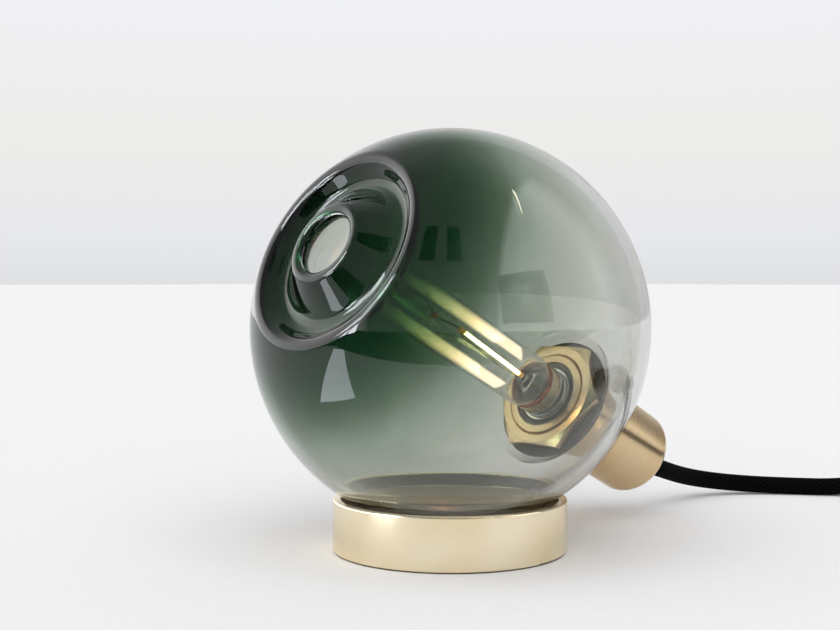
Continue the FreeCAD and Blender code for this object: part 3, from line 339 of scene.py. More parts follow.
# an outline with a fillet at each corner but its two ends
def roundedProfile(corners):
    points = [Vector((s, r, 0)) for s, r, fillet in corners]
    line = [(points[0].x, points[0].y)]
    for i in range(1, len(points) - 1):
        here, fillet = points[i], corners[i][2]
        into = (here - points[i - 1]).normalized()
        out = (points[i + 1] - here).normalized()
        turn = into.angle(out)
        reach = fillet * math.tan(turn / 2)
        centre = here + (out - into).normalized() * (fillet / math.cos(turn / 2))
        first = here - into * reach - centre
        steps = max(globeForm["fewestSteps"], int(turn / globeForm["filletStep"]))
        sense = 1 if into.cross(out).z > 0 else -1
        for k in range(steps + 1):
            angle = sense * turn * k / steps
            c, s = math.cos(angle), math.sin(angle)
            line.append((centre.x + first.x * c - first.y * s, centre.y + first.x * s + first.y * c))
    line.append((points[-1].x, points[-1].y))
    return line


def spherePoint(radius, angle):
    return -radius * math.cos(angle), radius * math.sin(angle)


def sphereArc(radius, start, end):
    steps = globeForm["arcSteps"]
    return [spherePoint(radius, start + (end - start) * k / steps) for k in range(1, steps)]


def inMetres(corners):
    return [[value * 0.001 for value in corner] for corner in corners]


def globeProfile():
    g = globeForm
    outer, inner = g["radius"], g["radius"] - g["wall"]
    rim, neck = g["rimAngle"], math.pi - g["neckAngle"]
    edgePlace, edgeRadius = g["dimple"][-1][:2]
    start, end = math.atan2(edgeRadius, -edgePlace), neck - g["innerLead"]
    line = roundedProfile([(*spherePoint(outer, rim), 0)] + inMetres(g["dimple"]))
    line += sphereArc(inner, start, end)
    line += roundedProfile([(*spherePoint(inner, end), 0)] + inMetres(g["neck"])
                           + [(*spherePoint(outer, neck), 0)])
    line += sphereArc(outer, neck, rim)
    return line


# spins a closed outline round the X axis and puts the piece in its place
def spunPiece(name, line, segments, place):
    form = bmesh.new()
    turns = [2 * math.pi * k / segments for k in range(segments)]
    rings = [[form.verts.new((s, r * math.cos(a), r * math.sin(a))) for a in turns] for s, r in line]
    for i, lower in enumerate(rings):
        upper = rings[(i + 1) % len(rings)]
        for k in range(segments):
            n = (k + 1) % segments
            form.faces.new((lower[k], lower[n], upper[n], upper[k]))
    bmesh.ops.recalc_face_normals(form, faces=form.faces)
    mesh = bpy.data.meshes.new(name)
    form.to_mesh(mesh)
    form.free()
    mesh.transform(place)
    mesh.shade_smooth()
    mesh.set_sharp_from_angle(angle=globeForm["sharp"])
    piece = bpy.data.objects.new(name, mesh)
    bpy.context.scene.collection.objects.link(piece)
    return piece


# how far a place lies from the globe's centre along a direction
def partAlong(tree, place, direction):
    lowered = addNode(tree, "ShaderNodeVectorMath", {"operation": "SUBTRACT"})
    feed(tree, lowered.inputs, (place, (0, 0, lampAxis["globeHeight"])))
    return dotNode(tree, lowered.outputs[0], direction)


# Smoked blown glass: a green gather under clear glass, deep at the dimple and thin towards the neck,
# with a faint smoke through the wall that darkens the globe's outline
smokedGlass = {
    "from": -0.085,                  # the green's reach along the lamp's axis from the globe's centre
    "to": 0.015,
    # place along the axis in mm, colour per wall
    "stops": [(-82, "#0F2A17"), (-75, "#163520"), (-70, "#1C3E26"), (-64, "#3A5740"), (-57, "#5B725C"),
              (-53, "#7A8C7A"), (-47, "#97A99A"), (-42, "#AAB6A9"), (-34, "#BAC2B5"), (-24, "#CAD0C5"),
              (-12, "#DEE1D9"), (6, "#E6E7E3")],
    "driftSize": 0.05,               # the green drifts a little from place to place
    "drift": 0.012,
    "waveSize": 0.045,               # shallow waves left by blowing
    "waveStrength": 0.06,
    "waveHeight": 0.003,
    "smoke": "#9DA39E",
    "smokeDensity": 14.0,
}


def smokedBlownGlass():
    look = smokedGlass
    material, tree, shader, place = newMaterial("smoked blown glass", {
        "Roughness": 0.0, "IOR": 1.5, "Transmission Weight": 1.0})
    drift = noiseField(tree, place, look["driftSize"], detail=1.0)
    shift = mathNode(tree, "MULTIPLY", mathNode(tree, "SUBTRACT", drift, 0.5), look["drift"])
    along = mathNode(tree, "ADD", partAlong(tree, place, lampDirection), shift)
    start, length = look["from"] * 1000, (look["to"] - look["from"]) * 1000
    colour = colourRamp(tree, rangeNode(tree, along, (look["from"], look["to"])),
                        [((s - start) / length, code) for s, code in look["stops"]])
    tree.links.new(colour, shader.inputs["Base Color"])
    waves = noiseField(tree, place, look["waveSize"], detail=0.0)
    bumpFrom(tree, shader, waves, look["waveStrength"], look["waveHeight"])
    smoke = addNode(tree, "ShaderNodeVolumeAbsorption", values={
        "Color": hexColour(look["smoke"]), "Density": look["smokeDensity"]})
    tree.links.new(smoke.outputs[0], tree.nodes["Material Output"].inputs["Volume"])
    return material


# Turned brass, satin: fine lathe lines round the piece, a soft tarnish and a slight wear of tone
brassFinishes = {
    "turned ring brass": {
        "nodes": ["base_ring"],
        "tones": ("#F6E9CC", "#F0DFBB"), "roughness": (0.15, 0.27), "axis": (0, 0, 1)},
    "turned barrel brass": {
        "nodes": ["neck_nut", "nose_sleeve", "lampholder_barrel", "retaining_ring"],
        "tones": ("#DFC69F", "#D6B98C"), "roughness": (0.19, 0.31), "axis": lampDirection},
}
latheWork = {"tarnishSize": 0.03, "linesPerMetre": 4500.0, "lineStrength": 0.12, "lineHeight": 0.00004}


def turnedBrass(name, look):
    material, tree, shader, place = newMaterial(name, {"Metallic": 1.0, "Anisotropic": 0.5})
    tarnish = noiseField(tree, place, latheWork["tarnishSize"], detail=5.0)
    tree.links.new(twoTones(tree, tarnish, look["tones"]), shader.inputs["Base Color"])
    # lathe lines: rings that differ from one to the next along the piece's own axis
    lines = addNode(tree, "ShaderNodeTexNoise", {"noise_dimensions": "1D"},
                    {"Scale": latheWork["linesPerMetre"], "Detail": 2.0},
                    {"W": dotNode(tree, place, look["axis"])}).outputs[0]
    tree.links.new(rangeNode(tree, lines, (0.0, 1.0), look["roughness"]), shader.inputs["Roughness"])
    bumpFrom(tree, shader, lines, latheWork["lineStrength"], latheWork["lineHeight"])
    return material


# Clear glass of the bulb: thin, colourless, with a trace of draw lines
clearGlass = {"colour": "#FBFBF8", "index": 1.47, "lineSize": 0.006, "lineStrength": 0.05,
              "lineHeight": 0.0004}


def drawnClearGlass(name):
    material, tree, shader, place = newMaterial(name, {
        "Base Color": hexColour(clearGlass["colour"]), "Roughness": 0.0, "IOR": clearGlass["index"],
        "Transmission Weight": 1.0})
    lines = noiseField(tree, place, clearGlass["lineSize"], detail=1.0)
    bumpFrom(tree, shader, lines, clearGlass["lineStrength"], clearGlass["lineHeight"])
    return material, tree, shader, place


# Painted reflections on the tube: stripes of emission along its glass, where it faces fixed ways round its
# axis, stand in for bright windows mirrored in it;
# they fade from where the filament starts and are painted more amber towards the green end of the globe
paintedTubeReflection = {
    "start": 0.0405,                 # places along the lamp's axis from the globe's centre
    "end": -0.045,
    "stripes": 4,
    "around": math.radians(23.2),    # where the first stripe lies round the tube
    "edge": [(0.3, "#000000"), (0.6, "#FFFFFF")],
    "colours": [(0.0, "#000000"), (0.12, "#6E3E2C"), (0.4, "#FFBC98"), (0.93, "#C4AC9C"), (0.95, "#000000")],
    "dark": 0.95,                    # the place in these colours that lies at the start
    "strength": 1.9,
}


def paintedReflectionTubeGlass():
    material, tree, shader, place = drawnClearGlass("drawn bulb glass with painted reflections")
    sideways = partAlong(tree, place, (0, 1, 0))
    upwards = partAlong(tree, place, (math.sin(lampAxis["tilt"]), 0, math.cos(lampAxis["tilt"])))
    angle = mathNode(tree, "SUBTRACT", mathNode(tree, "ARCTAN2", sideways, upwards), paintedTubeReflection["around"])
    wave = mathNode(tree, "COSINE", mathNode(tree, "MULTIPLY", angle, paintedTubeReflection["stripes"]))
    stripe = colourRamp(tree, wave, paintedTubeReflection["edge"])
    reach = rangeNode(tree, partAlong(tree, place, lampDirection), (paintedTubeReflection["end"], paintedTubeReflection["start"]),
                      (0.0, paintedTubeReflection["dark"]))
    glow = colourRamp(tree, reach, paintedTubeReflection["colours"])
    # painted reflection: the bulb glass itself emits these stripes
    tree.links.new(mixNode(tree, "RGBA", 1.0, stripe, glow, "MULTIPLY"), shader.inputs["Emission Color"])
    shader.inputs["Emission Strength"].default_value = paintedTubeReflection["strength"]
    return material


# Phosphor coating, lit: it glows nearly white along the filament and dimly at its ends; the amber glass bead
# is given a painted glow
litFinishes = {
    "lit amber phosphor": {
        "nodes": ["filament"],
        "tones": ("#D9963A", "#E8B04A"), "grain": 0.0008, "glow": "#FFE7A6", "strength": 40.0},
    "dim amber phosphor": {
        "nodes": ["filament_clips"],
        "tones": ("#B06A22", "#E8B04A"), "grain": 0.0008, "glow": "#FFB347", "strength": 0.6},
    # painted glow: the glass bead is not a light source but is given a faint emission
    "amber glass bead with painted glow": {
        "nodes": ["support_bead"],
        "tones": ("#A85A18", "#E8B04A"), "grain": 0.0008, "glow": "#FF9A30", "strength": 0.4},
}


def litAmber(name, look):
    material, tree, shader, place = newMaterial(name, {
        "Roughness": 0.5, "Emission Color": hexColour(look["glow"]), "Emission Strength": look["strength"]})
    grain = noiseField(tree, place, look["grain"], detail=2.0)
    tree.links.new(twoTones(tree, grain, look["tones"], (0.3, 0.7)), shader.inputs["Base Color"])
    return material


# Braided textile: two families of yarn that cross and pass over and under each other
braid = {
    "yarns": 12,                     # each way round the cord
    "lay": 0.0042,                   # along the cord, from one yarn of a family to the next
    "fluffSize": 0.0004,
    "fluff": 0.35,
    "tones": [(0.1, "#000000"), (0.6, "#040404"), (1.0, "#0C0D0D")],
    "reliefStrength": 0.5,
    "relief": 0.00035,
}


def braidedTextile():
    material, tree, shader, place = newMaterial("braided black textile", {
        "Roughness": 0.8, "Specular IOR Level": 0.04})
    along = addNode(tree, "ShaderNodeUVMap", {"uv_map": "along"})
    parts = addNode(tree, "ShaderNodeSeparateXYZ", links={"Vector": along.outputs[0]})
    around = mathNode(tree, "MULTIPLY", parts.outputs["X"], braid["yarns"])
    travel = mathNode(tree, "MULTIPLY", parts.outputs["Y"], 1 / braid["lay"])
    ridges, waves = [], []
    for operation in ("ADD", "SUBTRACT"):
        yarn = mathNode(tree, operation, around, travel)
        offCentre = mathNode(tree, "ABSOLUTE", mathNode(tree, "SUBTRACT", mathNode(tree, "FRACT", yarn), 0.5))
        ridges.append(mathNode(tree, "SUBTRACT", 1.0, mathNode(tree, "MULTIPLY", offCentre, 2.0)))
        waves.append(mathNode(tree, "SINE", mathNode(tree, "MULTIPLY", yarn, math.pi)))
    onTop = mathNode(tree, "GREATER_THAN", mathNode(tree, "MULTIPLY", *waves), 0.0)
    weave = mixNode(tree, "FLOAT", onTop, *ridges)
    fluff = noiseField(tree, place, braid["fluffSize"], detail=2.0)
    level = mathNode(tree, "ADD", weave, mathNode(tree, "MULTIPLY", fluff, braid["fluff"]))
    tree.links.new(colourRamp(tree, level, braid["tones"]), shader.inputs["Base Color"])
    bumpFrom(tree, shader, level, braid["reliefStrength"], braid["relief"])
    return material


# Plain finishes: each has two tones, a grain size in metres that mixes them, and a relief
plainFinishes = {
    "moulded black rubber": {                 # bush and relief: dull, with a faint bloom
        "nodes": ["cord_bush", "plug_relief"],
        "tones": ("#141414", "#212121"), "grain": 0.0012, "relief": 0.00006, "roughness": (0.55, 0.75)},
    "moulded grey silicone": {                # gaskets against the glass: dull and a little warm
        "nodes": ["inner_gasket", "outer_gasket"],
        "tones": ("#6F6C64", "#858178"), "grain": 0.0015, "relief": 0.00005, "roughness": (0.45, 0.6)},
    "moulded brown rubber": {                 # seat under the globe: dull, warm brown
        "nodes": ["seat_ring"],
        "tones": ("#4C3C20", "#6B5631"), "grain": 0.0012, "relief": 0.00006, "roughness": (0.6, 0.8)},
    "pressed brown felt": {                   # foot ring: hairy and matt
        "nodes": ["foot_ring"],
        "tones": ("#4B4030", "#665842"), "grain": 0.0005, "relief": 0.0004, "roughness": (0.9, 1.0),
        "extra": {"Sheen Weight": 0.4}},
    "pressed grey steatite": {                # socket body: matt unglazed ceramic with fine specks
        "nodes": ["socket_body"],
        "tones": ("#A5A299", "#B8B5AB"), "grain": 0.0006, "relief": 0.00005, "roughness": (0.5, 0.65)},
    "moulded black nylon": {                  # cord clamp: slightly glossy with flow marks
        "nodes": ["clamp_lower", "clamp_upper"],
        "tones": ("#191919", "#242424"), "grain": 0.002, "relief": 0.00004, "roughness": (0.4, 0.55)},
    "extruded brown sleeve": {
        "nodes": ["live_wire", "switch_wires"],
        "tones": ("#5A341E", "#6B4127"), "grain": 0.002, "relief": 0.00003, "roughness": (0.35, 0.45)},
    "extruded blue sleeve": {
        "nodes": ["neutral_wire"],
        "tones": ("#2B5FA0", "#3A6EAE"), "grain": 0.002, "relief": 0.00003, "roughness": (0.35, 0.45)},
    "red bonding cement": {                   # ring between cap and glass: chalky, a little uneven
        "nodes": ["cap_cement"],
        "tones": ("#8E4A34", "#A9664B"), "grain": 0.0011, "relief": 0.00025, "roughness": (0.7, 0.85)},
    "fused black glass": {                    # insulator round the bulb's tip: glossy
        "nodes": ["cap_insulator"],
        "tones": ("#101114", "#1B1C20"), "grain": 0.0015, "relief": 0.00005, "roughness": (0.08, 0.16)},
    "potted driver board": {
        "nodes": ["bulb_driver"],
        "tones": ("#2C5B3B", "#38694A"), "grain": 0.003, "relief": 0.0001, "roughness": (0.3, 0.5)},
    "spark eroded black moulding": {          # switch and plug: fine even texture from the mould
        "nodes": ["switch_base", "switch_cover", "plug_body", "plug_face"],
        "tones": ("#161616", "#1F1F20"), "grain": 0.00045, "relief": 0.00009, "roughness": (0.42, 0.55),
        "extra": {"Specular IOR Level": 0.25}},
    "polished black moulding": {              # rocker: smooth and glossy
        "nodes": ["switch_rocker"],
        "tones": ("#121213", "#19191A"), "grain": 0.004, "relief": 0.00002, "roughness": (0.14, 0.22)},
    "zinc plated steel": {                    # screws and pins: bluish, with cloudy plating
        "nodes": ["terminal_screws", "clamp_screws", "earth_screw", "switch_screws", "rocker_pin"],
        "tones": ("#B9BDC2", "#CDCFD0"), "grain": 0.0025, "relief": 0.00002, "roughness": (0.25, 0.38),
        "extra": {"Metallic": 1.0}},
    "nickel plated brass": {                  # contacts and pins: warm white, wiped bright
        "nodes": ["screw_shell", "centre_contact", "shell_contact", "switch_contacts", "plug_pins",
                  "plug_earth_clips", "tip_contact"],
        "tones": ("#D5D0C2", "#E2DED2"), "grain": 0.003, "relief": 0.00002, "roughness": (0.2, 0.3),
        "extra": {"Metallic": 1.0}},
    "rolled cap aluminium": {                 # bulb cap: drawn sheet with faint rolling marks
        "nodes": ["bulb_cap"],
        "tones": ("#C9CACB", "#D8D9DA"), "grain": 0.002, "relief": 0.00003, "roughness": (0.22, 0.34),
        "extra": {"Metallic": 1.0}},
    "oxidised support wire": {                # thin wires inside the bulb: dull grey
        "nodes": ["return_wire", "support_wire"],
        "tones": ("#5E5C58", "#77746E"), "grain": 0.0015, "relief": 0.00002, "roughness": (0.35, 0.5),
        "extra": {"Metallic": 1.0}},
}
# fine grain, and clouds of several grains, both take part in the mix of tones
mottle = {"cloudGrains": 9, "grainShare": 0.6, "cloudShare": 0.4, "reliefStrength": 0.6}


def plainFinish(name, look):
    material, tree, shader, place = newMaterial(name, look.get("extra", {}))
    grain = noiseField(tree, place, look["grain"], detail=3.0)
    cloud = noiseField(tree, place, look["grain"] * mottle["cloudGrains"], detail=2.0)
    mixed = mathNode(tree, "ADD", mathNode(tree, "MULTIPLY", grain, mottle["grainShare"]),
                     mathNode(tree, "MULTIPLY", cloud, mottle["cloudShare"]))
    tree.links.new(twoTones(tree, mixed, look["tones"]), shader.inputs["Base Color"])
    tree.links.new(rangeNode(tree, cloud, (0.3, 0.7), look["roughness"]), shader.inputs["Roughness"])
    bumpFrom(tree, shader, grain, mottle["reliefStrength"], look["relief"])
    return material


# Earth sleeve: green with a yellow stripe that winds round it
earthSleeve = {
    "bands": {"Scale": 180.0, "Distortion": 0.4, "Detail": 1.0},
    "tones": [(0.0, "#3C8A3E"), (0.5, "#D9C932")],
    "grain": 0.001,
    "reliefStrength": 0.3,
    "relief": 0.00003,
}


def stripedSleeve():
    material, tree, shader, place = newMaterial("striped earth sleeve", {"Roughness": 0.4})
    bands = addNode(tree, "ShaderNodeTexWave", {"bands_direction": "DIAGONAL"}, earthSleeve["bands"],
                    {"Vector": place})
    shade = colourRamp(tree, bands.outputs["Fac"], earthSleeve["tones"], "CONSTANT")
    tree.links.new(shade, shader.inputs["Base Color"])
    grain = noiseField(tree, place, earthSleeve["grain"], detail=2.0)
    bumpFrom(tree, shader, grain, earthSleeve["reliefStrength"], earthSleeve["relief"])
    return material


def dress(names, material):
    for name in names:
        data = nodes[name].data
        data.materials.clear()
        data.materials.append(material)


globe = spunPiece("blown_glass_globe", globeProfile(), globeForm["segments"], toLamp)
globe.data.materials.append(smokedBlownGlass())
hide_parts("glass_globe")
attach(globe, "globe")
print("stage: globe")

for make, finishes in ((turnedBrass, brassFinishes), (plainFinish, plainFinishes), (litAmber, litFinishes)):
    for name, look in finishes.items():
        dress(look["nodes"], make(name, look))
dress(["earth_wire"], stripedSleeve())
dress(["bulb_glass"], paintedReflectionTubeGlass())
dress(["stem_glass"], drawnClearGlass("pressed stem glass")[0])
textile = braidedTextile()
dress(["cord_stub"], textile)
textileCord.data.materials.append(textile)
print("stage: finishes")


# Pieces made by rule with geometry nodes
def ruleTree(name, inputs):
    tree = bpy.data.node_groups.new(name, "GeometryNodeTree")
    sockets = {}
    for key, kind in inputs.items():
        socket = tree.interface.new_socket(key, in_out="INPUT", socket_type="NodeSocket" + kind)
        sockets[key] = socket.identifier
    tree.interface.new_socket("geometry", in_out="OUTPUT", socket_type="NodeSocketGeometry")
    return tree, sockets, addNode(tree, "NodeGroupInput").outputs


def endRule(tree, geometry, finish):
    whole = addNode(tree, "GeometryNodeRealizeInstances", links={"Geometry": geometry})
    smooth = addNode(tree, "GeometryNodeSetShadeSmooth", links={"Geometry": whole.outputs[0]})
    finished = addNode(tree, "GeometryNodeSetMaterial",
                       links={"Geometry": smooth.outputs[0], "Material": finish})
    result = addNode(tree, "NodeGroupOutput")
    tree.links.new(finished.outputs[0], result.inputs[0])


# Screw threads: a spiral swept with a small round section, for cap and nose
def threadTree():
    tree, sockets, given = ruleTree("rolledThread", {
        "radius": "Float", "pitch": "Float", "turns": "Float", "depth": "Float", "finish": "Material"})
    spiral = addNode(tree, "GeometryNodeCurveSpiral", values={"Resolution": 48}, links={
        "Rotations": given["turns"], "Start Radius": given["radius"], "End Radius": given["radius"],
        "Height": mathNode(tree, "MULTIPLY", given["pitch"], given["turns"])})
    section = addNode(tree, "GeometryNodeCurvePrimitiveCircle", values={"Resolution": 8},
                      links={"Radius": given["depth"]})
    swept = addNode(tree, "GeometryNodeCurveToMesh", values={"Fill Caps": True},
                    links={"Curve": spiral.outputs[0], "Profile Curve": section.outputs[0]})
    endRule(tree, swept.outputs[0], given["finish"])
    return tree, sockets


# Ribs: rods of one length set round a circle, each with a round tip, for a grip
def ribTree():
    tree, sockets, given = ruleTree("gripRibs", {
        "radius": "Float", "count": "Int", "length": "Float", "thickness": "Float", "finish": "Material"})
    circle = addNode(tree, "GeometryNodeMeshCircle",
                     links={"Vertices": given["count"], "Radius": given["radius"]})
    rod = addNode(tree, "GeometryNodeMeshCylinder", values={"Vertices": 10, "Side Segments": 1},
                  links={"Radius": given["thickness"], "Depth": given["length"]})
    tip = addNode(tree, "GeometryNodeMeshUVSphere", values={"Segments": 10, "Rings": 6},
                  links={"Radius": given["thickness"]})
    half = mathNode(tree, "MULTIPLY", given["length"], 0.5)
    offset = addNode(tree, "ShaderNodeCombineXYZ", links={"Z": half})
    lifted = addNode(tree, "GeometryNodeTransform",
                     links={"Geometry": tip.outputs[0], "Translation": offset.outputs[0]})
    joined = addNode(tree, "GeometryNodeJoinGeometry")
    tree.links.new(rod.outputs[0], joined.inputs[0])
    tree.links.new(lifted.outputs[0], joined.inputs[0])
    placed = addNode(tree, "GeometryNodeInstanceOnPoints",
                     links={"Points": circle.outputs[0], "Instance": joined.outputs[0]})
    endRule(tree, placed.outputs[0], given["finish"])
    return tree, sockets


def builtPiece(name, rule, form, place):
    tree, sockets = rule
    seed = bpy.data.meshes.new(name)
    piece = bpy.data.objects.new(name, seed)
    bpy.context.scene.collection.objects.link(piece)
    modifier = piece.modifiers.new("rule", "NODES")
    modifier.node_group = tree
    for key, identifier in sockets.items():
        modifier[identifier] = form[key]
    bpy.context.view_layer.update()
    made = bpy.data.meshes.new_from_object(piece.evaluated_get(bpy.context.evaluated_depsgraph_get()))
    piece.modifiers.remove(modifier)
    piece.data = made
    made.transform(place)
    return piece


# lays a piece made along Z along the lamp's axis, from a place on it
def alongLamp(start):
    return toLamp @ Matrix.Rotation(math.pi / 2, 4, "Y") @ Matrix.Translation((0, 0, start))


threads = threadTree()
capThread = {"radius": 0.01325, "pitch": 0.00363, "turns": 4.0, "depth": 0.00028, "start": 0.0735,
             "finish": bpy.data.materials["rolled cap aluminium"]}
thread = builtPiece("cap_thread", threads, capThread, alongLamp(capThread["start"]))
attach(thread, "bulb")
noseThread = {"radius": 0.0218, "pitch": 0.0015, "turns": 0.6, "depth": 0.0001, "start": 0.0792,
              "finish": bpy.data.materials["turned barrel brass"]}
noseEnd = builtPiece("nose_thread", threads, noseThread, alongLamp(noseThread["start"]))
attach(noseEnd, "globe")
print("stage: threads")

# the plug's grip, ribbed so that it can be pulled
plugGrip = {"radius": 0.0129, "count": 28, "length": 0.018, "thickness": 0.0005, "behind": 0.043,
            "finish": bpy.data.materials["spark eroded black moulding"]}
leaveHeading = cordRoute["heading"] - cordRoute["leave"]
plugAhead = Vector((math.cos(leaveHeading), math.sin(leaveHeading), 0))
plugStart = cordPoints()[-1] - plugAhead * cordRoute["bite"]
plugPlace = (Matrix.Translation(plugStart + plugAhead * plugGrip["behind"])
             @ plugAhead.to_track_quat("Z", "Y").to_matrix().to_4x4())
grip = builtPiece("plug_grip_ribs", ribTree(), plugGrip, plugPlace)
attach(grip, "lead")
print("stage: plug grip")

# the lead bends between barrel and switch; measured this way, the coil and the plug's end lie past the bend
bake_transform(textileCord)
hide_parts("cord_lead", "cord_link", "cord_coil", "cord_tail")

# Studio: pale table and wall, a white room, and what the glass and brass mirror of it: bright walls on
# both sides, a dark space behind the camera, and windows with panes, a lamp and dark furniture in it
studio = {
    "floorTones": ("#F6F6F7", "#F8F8F9"),
    "floorGrain": 0.004,
    "floorHalf": 40.0,
    "patchHeight": 0.001,
    "tableFront": 0.38,              # where the mirrored table ends, towards the camera
    "roomColour": "#F6F6F7",
    "roomStrength": 0.58,
    "wallStops": [(0.0, "#E0E1E3"), (0.03, "#E7E8EC"), (0.1, "#EDECEA"), (0.22, "#F0F1F5")],
    "mirrorStrength": 3.0,
    "mirrorDistance": 3.0,
    # what is mirrored, from left to right: on the camera's side, and beyond the lamp
    "nearStops": [(0.0, "#DDDDDD"), (0.11, "#D8D8D8"), (0.15, "#606462"), (0.71, "#5C605E"),
                  (0.735, "#D0D0D0"), (1.0, "#B0B0B0")],
    "nearEdge": (-0.4, -0.2),
    "farStops": [(0.0, "#EAEAEA"), (0.18, "#E4E4E4"), (0.35, "#AAAAAA"), (0.5, "#919191"),
                 (0.7, "#848484"), (0.85, "#606060"), (1.0, "#3F3F3F")],
    "ceilingColour": "#4A4C4B",
    "ceilingEdge": (0.42, 0.78),
    "ceilingShade": 0.75,
}
toCamera = Vector(cameraView["place"])
toCamera.z = 0
toCamera.normalize()
rightward = Vector((0, 0, 1)).cross(toCamera)


def stagePiece(name, corners, material, mirroredOnly=False):
    mesh = bpy.data.meshes.new(name)
    mesh.from_pydata(corners, [], [tuple(range(i, i + 4)) for i in range(0, len(corners), 4)])
    mesh.materials.append(material)
    piece = bpy.data.objects.new(name, mesh)
    bpy.context.scene.collection.objects.link(piece)
    if mirroredOnly:
        piece.visible_camera = False
        piece.visible_diffuse = False
        piece.visible_shadow = False


def paleTable():
    material, tree, shader, place = newMaterial("painted pale table", {
        "Roughness": 0.7, "Specular IOR Level": 0.0})
    grain = noiseField(tree, place, studio["floorGrain"], detail=2.0)
    tree.links.new(twoTones(tree, grain, studio["floorTones"], (0.3, 0.7)), shader.inputs["Base Color"])
    return material


def glowing(name, colour, strength):
    return newMaterial(name, {
        "Base Color": hexColour("#000000"), "Specular IOR Level": 0.0,
        "Emission Color": hexColour(colour), "Emission Strength": strength})[0]


half = studio["floorHalf"]
tableCorners = [(-half, -half, 0), (half, -half, 0), (half, half, 0), (-half, half, 0)]
stagePiece("pale table", tableCorners, paleTable())


# a level direction turned about the vertical, by degrees
def turned(direction, turn):
    return Matrix.Rotation(math.radians(turn), 3, "Z") @ direction


# flat patches seen only in reflections: the dark floor in front of the table, and daylight along the table
tablePatches = {
    "dark floor": {"turn": 0, "ahead": (studio["tableFront"], studio["floorHalf"]), "across": (-30.0, 30.0),
                   "colour": "#2A2E2C", "strength": 1.0},
    "daylight on table": {"turn": -60, "ahead": (0.2, 0.7), "across": (-0.03, 0.05),
                          "colour": "#F4F8FF", "strength": 5.0},
}
for name, patch in tablePatches.items():
    ahead = turned(toCamera, patch["turn"])
    across = Vector((0, 0, 1)).cross(ahead)
    (near, far), (left, right) = patch["ahead"], patch["across"]
    corners = [tuple(ahead * a + across * b + Vector((0, 0, studio["patchHeight"])))
               for a, b in ((near, left), (near, right), (far, right), (far, left))]
    stagePiece(name, corners, glowing(name, patch["colour"], patch["strength"]), mirroredOnly=True)


# what stands round the table, given by turn from the camera's side and rise, in degrees
def towards(turn, rise):
    across, up = math.cos(math.radians(rise)), math.sin(math.radians(rise))
    way = turned(toCamera, turn) * across + Vector((0, 0, up))
    return tuple(Vector((0, 0, lampAxis["globeHeight"])) + way * studio["mirrorDistance"])


def paneCorners(turns, rises, columns, rows, bar):
    corners = []
    wide, high = (turns[1] - turns[0]) / columns, (rises[1] - rises[0]) / rows
    for i in range(columns):
        for k in range(rows):
            left, low = turns[0] + i * wide, rises[0] + k * high
            right, top = left + wide - bar, low + high - bar
            corners += [(left, low), (right, low), (right, top), (left, top)]
    return corners


mirroredViews = {
    "left window": {
        "corners": paneCorners(turns=(-79, -57), rises=(14, 38), columns=2, rows=2, bar=2.0),
        "colour": "#F4F8FF", "strength": 16.0},
    "narrow window": {
        "corners": paneCorners(turns=(-64, -50), rises=(-1, 8), columns=2, rows=1, bar=1.5),
        "colour": "#F4F8FF", "strength": 18.0},
    "high lamp": {
        "corners": [(71, 56), (72.5, 57.5), (97, 66), (95.5, 64.5)],
        "colour": "#FFF6E0", "strength": 14.0},
    "dark shelf": {
        "corners": paneCorners(turns=(28, 58), rises=(4, 29), columns=1, rows=1, bar=0.0),
        "colour": "#0A0C0B", "strength": 1.0},
    "dark stand": {
        "corners": paneCorners(turns=(-20, 16), rises=(38, 66), columns=2, rows=1, bar=8.0),
        "colour": "#0A0C0B", "strength": 1.0},
}
for name, view in mirroredViews.items():
    corners = [towards(turn, rise) for turn, rise in view["corners"]]
    stagePiece(name, corners, glowing(name, view["colour"], view["strength"]), mirroredOnly=True)

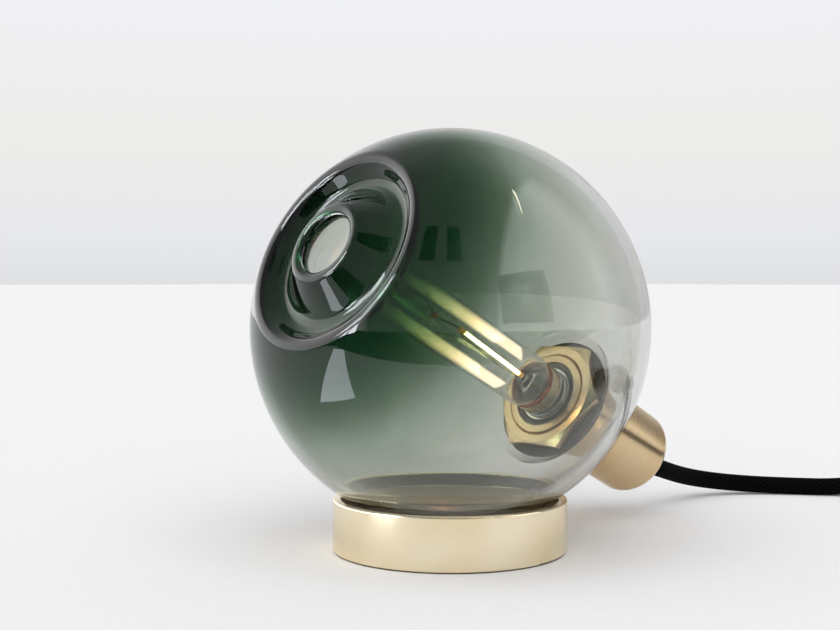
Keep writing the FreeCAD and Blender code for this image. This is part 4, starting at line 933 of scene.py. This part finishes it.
world = bpy.data.worlds.new("white room")
bpy.context.scene.world = world
world.use_nodes = True
sky = world.node_tree
room = sky.nodes["Background"]
room.inputs["Color"].default_value = hexColour(studio["roomColour"])
room.inputs["Strength"].default_value = studio["roomStrength"]
ways = addNode(sky, "ShaderNodeTexCoord").outputs["Generated"]
heights = addNode(sky, "ShaderNodeSeparateXYZ", links={"Vector": ways})
wall = addNode(sky, "ShaderNodeBackground", values={"Strength": 1.0},
               links={"Color": colourRamp(sky, heights.outputs["Z"], studio["wallStops"])})


def lean(direction, edge):
    return rangeNode(sky, dotNode(sky, ways, direction), edge)


def mixShaders(factor, first, second):
    mix = addNode(sky, "ShaderNodeMixShader")
    feed(sky, mix.inputs, (factor, first, second))
    return mix.outputs[0]


sideways = lean(rightward, (-1.0, 1.0))
nearSide = lean(toCamera, studio["nearEdge"])
raised = rangeNode(sky, heights.outputs["Z"], studio["ceilingEdge"], (0.0, studio["ceilingShade"]))
nearRoom = colourRamp(sky, sideways, studio["nearStops"])
farWalls = colourRamp(sky, sideways, studio["farStops"])
farRoom = mixNode(sky, "RGBA", raised, farWalls, hexColour(studio["ceilingColour"]))
mirrorRoom = addNode(sky, "ShaderNodeBackground", values={"Strength": studio["mirrorStrength"]},
                     links={"Color": mixNode(sky, "RGBA", nearSide, farRoom, nearRoom)})
rays = addNode(sky, "ShaderNodeLightPath").outputs
throughGlass = rays["Is Transmission Ray"]
straight = mathNode(sky, "MAXIMUM", rays["Is Camera Ray"],
                    mathNode(sky, "MULTIPLY", throughGlass, mathNode(sky, "SUBTRACT", 1.0, nearSide)))
mirroring = mathNode(sky, "MAXIMUM", rays["Is Glossy Ray"], throughGlass)
seen = mixShaders(mirroring, room.outputs[0], mirrorRoom.outputs[0])
sky.links.new(mixShaders(straight, seen, wall.outputs[0]), sky.nodes["World Output"].inputs["Surface"])

# daylight: broad suns from the left and from behind the camera, beside the light of the white room itself
suns = {
    "daylight from the left": {"from": (-0.75, 0.55, 0.95), "strength": 0.25, "width": math.radians(60)},
    "daylight from the front": {"from": (-0.7, -0.7, 1.3), "strength": 1.5, "width": math.radians(80)},
}
for name, sun in suns.items():
    lamp = bpy.data.lights.new(name, "SUN")
    lamp.energy = sun["strength"]
    lamp.angle = sun["width"]
    holder = bpy.data.objects.new(name, lamp)
    holder.visible_glossy = False
    bpy.context.scene.collection.objects.link(holder)
    holder.rotation_euler = (-Vector(sun["from"])).to_track_quat("-Z", "Y").to_euler()
print("stage: studio")
